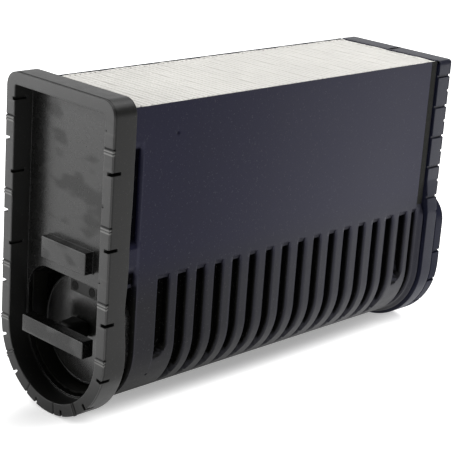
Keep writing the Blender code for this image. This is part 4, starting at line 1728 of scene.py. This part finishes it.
# ---------------------------------------------------------------- rear end
@dataclass(frozen=True)
class RearEnd:
    """The rear plate with its spigot, the flared seal, the outlet collar and the strips of sealant.

    Heights named top or foot are above the round bottom's axis.  A ring of the plate is whether it is on the
    opening, mm behind the plate's front (before the spigot's tip if negative) and inset in mm.
    """

    insert: Insert
    strips: tuple[Bead, ...] = (
        Bead("near_strip", "sealant_strip_near", Slot.EDGE, 2, 31, 0.25 * MM, 0.4 * MM),
        Bead("far_strip", "sealant_strip_far", Slot.EDGE, 2, 32, 0.25 * MM, 0.4 * MM),
    )
    collar_top: float = 76.0 * MM
    collar_corner: float = 29.0 * MM
    collar_foot: float = 13.6 * MM
    collar_radii: tuple[float, ...] = (0.5, 0.8, 3.6, 1.4)
    opening: float = 14.3 * MM
    clearance: float = 0.3 * MM
    plate_rings: tuple[tuple[bool, float, float], ...] = (
        (False, 0.0, 0.3),
        (False, 0.3, 0.0),
        (False, 2.4, 0.0),
        (False, 2.7, 0.3),
        (True, 2.7, 0.3),
        (True, -0.8, 0.3),
        (True, -0.2, 0.6),
        (True, -0.0, 1.2),
        (True, -0.0, 2.4),
        (True, -0.3, 3.1),
        (True, -1.0, 3.3),
        (True, 1.0, 3.3),
        (True, 0.0, 2.5),
    )
    even_counts: tuple[int, ...] = (14, 10, 26, 80, 26, 10, 14)
    flare_top: float = 96.0 * MM
    flare_foot: float = 61.0 * MM
    inset: float = 5.2 * MM
    thicker: float = 3.4 * MM
    seal_foot: float = 18.0 * MM
    seal_radii: tuple[float, ...] = (0.1, 0.8, 0.1, 0.1, 2.2, 0.1)
    notch_width: float = 1.6 * MM
    notch_edge: float = 0.9 * MM
    notch_depth: float = 2.2 * MM
    notch_pitch: float = 32.9 * MM
    first_notch: float = 26.5 * MM
    notch_rows: int = 5
    notch_angles: tuple[float, ...] = (15.5, 41.0, 66.0, 90.0)
    side_notch: float = 11.0
    nick: float = 1.5 * MM
    nick_length: float = 3.2 * MM
    spacing: float = 3.0 * MM

    def build(self, shop: Workshop) -> None:
        """Makes the three pieces and the strips.

        Args:
            shop: dresses them.
        """
        self.plate(shop)
        self.seal(shop)
        self.collar(shop)
        for strip in self.strips:
            strip.build(shop)

    @property
    def hole(self) -> Outline:
        """The opening that the seal and the collar leave for the spigot.

        Returns:
            Its outline.
        """
        half = self.insert.half - self.opening + self.clearance
        top = self.insert.axis + self.collar_top - self.opening
        return Outline(half, top, self.collar_corner - self.opening, self.insert.axis)

    def ring(self, outline: Outline, x: float, inset: float) -> Array:
        """One loop of points on an outline, with fixed counts on its parts, so that outlines can be skinned.

        Args:
            outline: the outline.
            x: where the loop is.
            inset: how far it is moved in.

        Returns:
            The points.
        """
        ends = np.concatenate([[0.0], np.cumsum(outline.parts)])
        spans = zip(ends, ends[1:], self.even_counts)
        places = [np.linspace(start, end, count, endpoint=False) for start, end, count in spans]
        base, normal = outline.points(np.concatenate(places))
        yz = base - normal * inset
        return np.concatenate([np.full((len(yz), 1), x), yz], axis=1)

    def plate(self, shop: Workshop) -> None:
        """A flat plate with the spigot turned out of it, skinned over rings.

        Args:
            shop: dresses it.
        """
        low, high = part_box("rear_plate")
        outlines = (Outline(high.y, high.z, 2.5 * MM, self.insert.axis), self.hole)
        rings = []
        for on_hole, along, inset in self.plate_rings:
            start = high.x if math.copysign(1.0, along) < 0.0 else low.x
            rings.append(self.ring(outlines[on_hole], start + along * MM, inset * MM))
        points = np.stack(rings, axis=1)
        plate = Patch().grid(points, around_rows=True, around_columns=True).build("outlet_plate", 40.0)
        shop.dress(plate, Slot.HOUSING, "rear_plate")

    def notched(self, places: Array, notches: list[float]) -> Array:
        """Depth of the notches.

        Args:
            places: where to read it.
            notches: their middles.

        Returns:
            The depth at each place.
        """
        reach = self.notch_width / 2 + self.notch_edge
        cut = sum(plateau(places, at - reach, at + reach, self.notch_edge) for at in notches)
        return self.notch_depth * np.minimum(cut, 1.0)

    def places(self, outline: Outline, notches: list[float]) -> Array:
        """Places round an outline, refined at notches.

        Args:
            outline: the outline.
            notches: their places.

        Returns:
            The places, without the last, which is the first again.
        """
        side = self.notch_width / 2 + self.notch_edge * np.linspace(0.0, 1.0, 5)
        return stations((0.0, outline.length), self.spacing, notches, [*-side[::-1], 0.0, *side])[:-1]

    def seal(self, shop: Workshop) -> None:
        """A thick flat seal: narrow beside the paper, flared to the collar's width, notched down both sides.

        Between two notches its rear edge has a nick.  Above the collar its rear face stands further back.

        Args:
            shop: dresses it.
        """
        insert, axis = self.insert, self.insert.axis
        outline = Outline(insert.half, insert.housing_top, 3.5 * MM, axis)
        low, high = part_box("rear_seal")
        levels = [insert.top - self.first_notch - self.notch_pitch * i for i in range(self.notch_rows)]
        notches = [outline.at_height(level) for level in levels]
        notches += [outline.mirrored(place) for place in notches]
        nicks = [place + self.notch_pitch / 2 for place in notches]
        places = self.places(outline, notches + nicks)
        height = outline.points(places)[0][:, 1]
        share = (height - axis - self.flare_foot) / (self.flare_top - self.flare_foot)
        narrow = self.inset * np.clip(share, 0.0, 1.0)
        thick, foot = high.x - low.x, self.seal_foot
        start = thick - self.nick_length
        along = [0.0, start - 0.4 * MM, start, thick]
        corners = [(0.0, foot), *((x, 0.0) for x in along), (thick, foot)]
        path = rounded(corners, [radius * MM for radius in self.seal_radii], 8, closed=False)[7:-7]
        share = smooth(path[:, 1], 6.0 * MM, 0.0)[None, :]
        at_back = smooth(path[:, 0], start, thick - 0.5 * MM)[None, :]
        nick = self.notched(places, nicks)[:, None] * self.nick / self.notch_depth
        inset = path[:, 1][None] + (self.notched(places, notches)[:, None] + nick * at_back) * share
        more = self.thicker * smooth(height, axis + self.collar_top, axis + self.flare_top)
        out = path[:, 0][None] + more[:, None] * smooth(path[:, 0], 0.3 * thick, 0.7 * thick)[None, :]
        points = carried(outline, places, np.stack([out, inset], axis=2))
        points[..., 1] -= narrow[:, None] * np.sign(points[..., 1])
        points[..., 0] += low.x
        facing = self.facing(outline, places)
        front = np.concatenate([np.full((len(facing), 1), low.x), facing], axis=1)
        back = np.concatenate([(high.x + more)[:, None], facing], axis=1)
        closed = np.concatenate([front[:, None], points, back[:, None]], axis=1)
        seal = Patch().grid(closed, around_rows=True, around_columns=True).build("flared_seal", 40.0)
        shop.dress(seal, Slot.SEAL, "rear_seal")

    def facing(self, outline: Outline, places: Array) -> Array:
        """Points of the opening that face an outline: on the same part, at the same share of it.

        Args:
            outline: the outline.
            places: on it.

        Returns:
            (y, z) of each.
        """
        ends = np.concatenate([[0.0], np.cumsum(outline.parts)])
        hole_ends = np.concatenate([[0.0], np.cumsum(self.hole.parts)])
        return self.hole.points(np.interp(places, ends, hole_ends))[0]

    def collar(self, shop: Workshop) -> None:
        """The soft collar round the outlet, with a rounded tip and notches round its bottom.

        Args:
            shop: dresses it.
        """
        insert = self.insert
        low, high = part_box("outlet_collar")
        outline = Outline(insert.half, insert.axis + self.collar_top, self.collar_corner, insert.axis)
        notches = [outline.at_angle(angle) for angle in self.notch_angles]
        notches += [outline.at_height(insert.axis + insert.half * math.sin(math.radians(self.side_notch)))]
        notches += [outline.mirrored(place) for place in notches]
        places = self.places(outline, notches)
        thick, foot = high.x - low.x, self.collar_foot
        corners = [(0.0, foot), (0.0, 0.0), (thick, 0.0), (thick, foot)]
        path = rounded(corners, [radius * MM for radius in self.collar_radii], 9)
        share = smooth(path[:, 1], 9.0 * MM, 2.0 * MM)[None, :]
        inset = path[:, 1][None] + self.notched(places, notches)[:, None] * share
        points = carried(outline, places, np.stack([np.broadcast_to(path[:, 0], inset.shape), inset], axis=2))
        points[..., 0] += low.x
        collar = Patch().grid(points, around_rows=True, around_columns=True).build("soft_collar", 40.0)
        shop.dress(collar, Slot.SEAL, "outlet_collar")


# ---------------------------------------------------------------- the set
@dataclass(frozen=True)
class Lamp:
    """A square area lamp that faces a point; its side is in metres and its power in watts."""

    name: str
    at: Triple
    aim: Triple
    side: float
    power: float

    def build(self) -> None:
        """Hangs the lamp."""
        data = bpy.data.lights.new(self.name, "AREA")
        data.shape, data.size, data.energy = "SQUARE", self.side, self.power
        lamp = bpy.data.objects.new(self.name, data)
        lamp.location = self.at
        lamp.rotation_euler = (Vector(self.aim) - Vector(self.at)).to_track_quat("-Z", "Y").to_euler()
        bpy.context.scene.collection.objects.link(lamp)


@dataclass(frozen=True)
class Studio:
    """Floor, sky, lamps and camera.  The floor's own glow is lower near the insert, which paints a darker
    shadow round and under it.
    """

    lamps: tuple[Lamp, ...] = (
        Lamp("key_light", (-1.5, 1.3, 0.6), (-0.2, 0.0, 0.12), 1.5, 26.0),
        Lamp("top_light", (0.5, -0.5, 2.2), (0.0, -0.2, 0.0), 2.4, 52.0),
        Lamp("back_light", (0.95, 1.0, 0.8), (0.0, 0.0, 0.3), 1.2, 3.6),
    )
    camera_at: Triple = (-1.05991, -0.99846, 0.60321)
    forward: Triple = (0.68660, 0.65994, -0.30506)
    right: Triple = (0.7061, -0.7048, 0.0678)
    lens: float = 120.33
    sky_strength: float = 0.2
    floor_size: float = 12.0
    floor_drop: float = 0.2 * MM
    floor_tones: Pair = (0.93, 0.96)
    floor_glow: float = 0.85
    # Glow of the floor inside its painted shadow near the insert.
    painted_shadow_glow: float = 0.35
    glow_from: Pair = (0.0, 0.0026)
    length_share: float = 0.01

    def build(self) -> None:
        """Sets it all up, with plain colours."""
        self.floor()
        self.sky()
        for lamp in self.lamps:
            lamp.build()
        self.camera()
        bpy.context.scene.view_settings.view_transform = "Standard"

    def floor(self) -> None:
        """A wide, flat, pale floor; its glow grows smoothly with length_share * x^2 + y^2, which paints a
        shadow near the insert.
        """
        line = np.linspace(-self.floor_size / 2, self.floor_size / 2, 9)
        x, y = np.meshgrid(line, line, indexing="ij")
        floor = Patch().grid(np.stack([x, y, np.full_like(x, -self.floor_drop)], axis=2)).build("floor")
        shop = NodeShop("pale_floor")
        dark, pale = (opaque(WHITE, tone) for tone in self.floor_tones)
        shop.feed("Base Color", shop.mix(shop.noise(3.0, 2.0), dark, pale))
        shop.feed("Roughness", 0.7)
        shop.feed("Specular IOR Level", 0.3)
        x, y, _ = shop.axes
        # Painted shadow: the floor glows less near the insert.
        away = (x * x * self.length_share + y * y).ramp(*self.glow_from)
        shop.feed("Emission Color", shop.mix(away, opaque(WHITE, self.painted_shadow_glow), opaque(WHITE)))
        shop.feed("Emission Strength", self.floor_glow)
        floor.data.materials.append(shop.material)

    def sky(self) -> None:
        """An even white sky."""
        world = bpy.data.worlds.new("sky")
        world.use_nodes = True
        back = world.node_tree.nodes["Background"]
        back.inputs["Color"].default_value = opaque(WHITE)
        back.inputs["Strength"].default_value = self.sky_strength
        bpy.context.scene.world = world

    def camera(self) -> None:
        """The camera, from its place and two of its axes."""
        data = bpy.data.cameras.new("camera")
        data.lens, data.sensor_width, data.clip_start = self.lens, 36.0, 0.05
        forward, right = Vector(self.forward).normalized(), Vector(self.right)
        right = (right - forward * right.dot(forward)).normalized()
        axes = Matrix((right, right.cross(forward), -forward)).transposed().to_4x4()
        camera = bpy.data.objects.new("camera", data)
        camera.matrix_world = Matrix.Translation(self.camera_at) @ axes
        bpy.context.scene.collection.objects.link(camera)
        bpy.context.scene.camera = camera


def main() -> None:
    """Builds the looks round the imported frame."""
    logging.basicConfig(level=logging.INFO, format="%(name)s: %(message)s")
    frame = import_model()
    Studio().build()
    shop = Workshop()
    insert = Insert.read()
    for name, node in frame["nodes"].items():
        shop.keep(node, Slot.HOUSING if name.startswith("cross_bar") else Slot.SEALANT)
    FrontRim(insert).build(shop)
    FrontPlate.read(insert).build(shop)
    FrontFittings(insert).build(shop)
    Housing.read(insert).build(shop)
    PaperPack().build(shop)
    RearEnd(insert).build(shop)


if __name__ == "__main__":
    main()
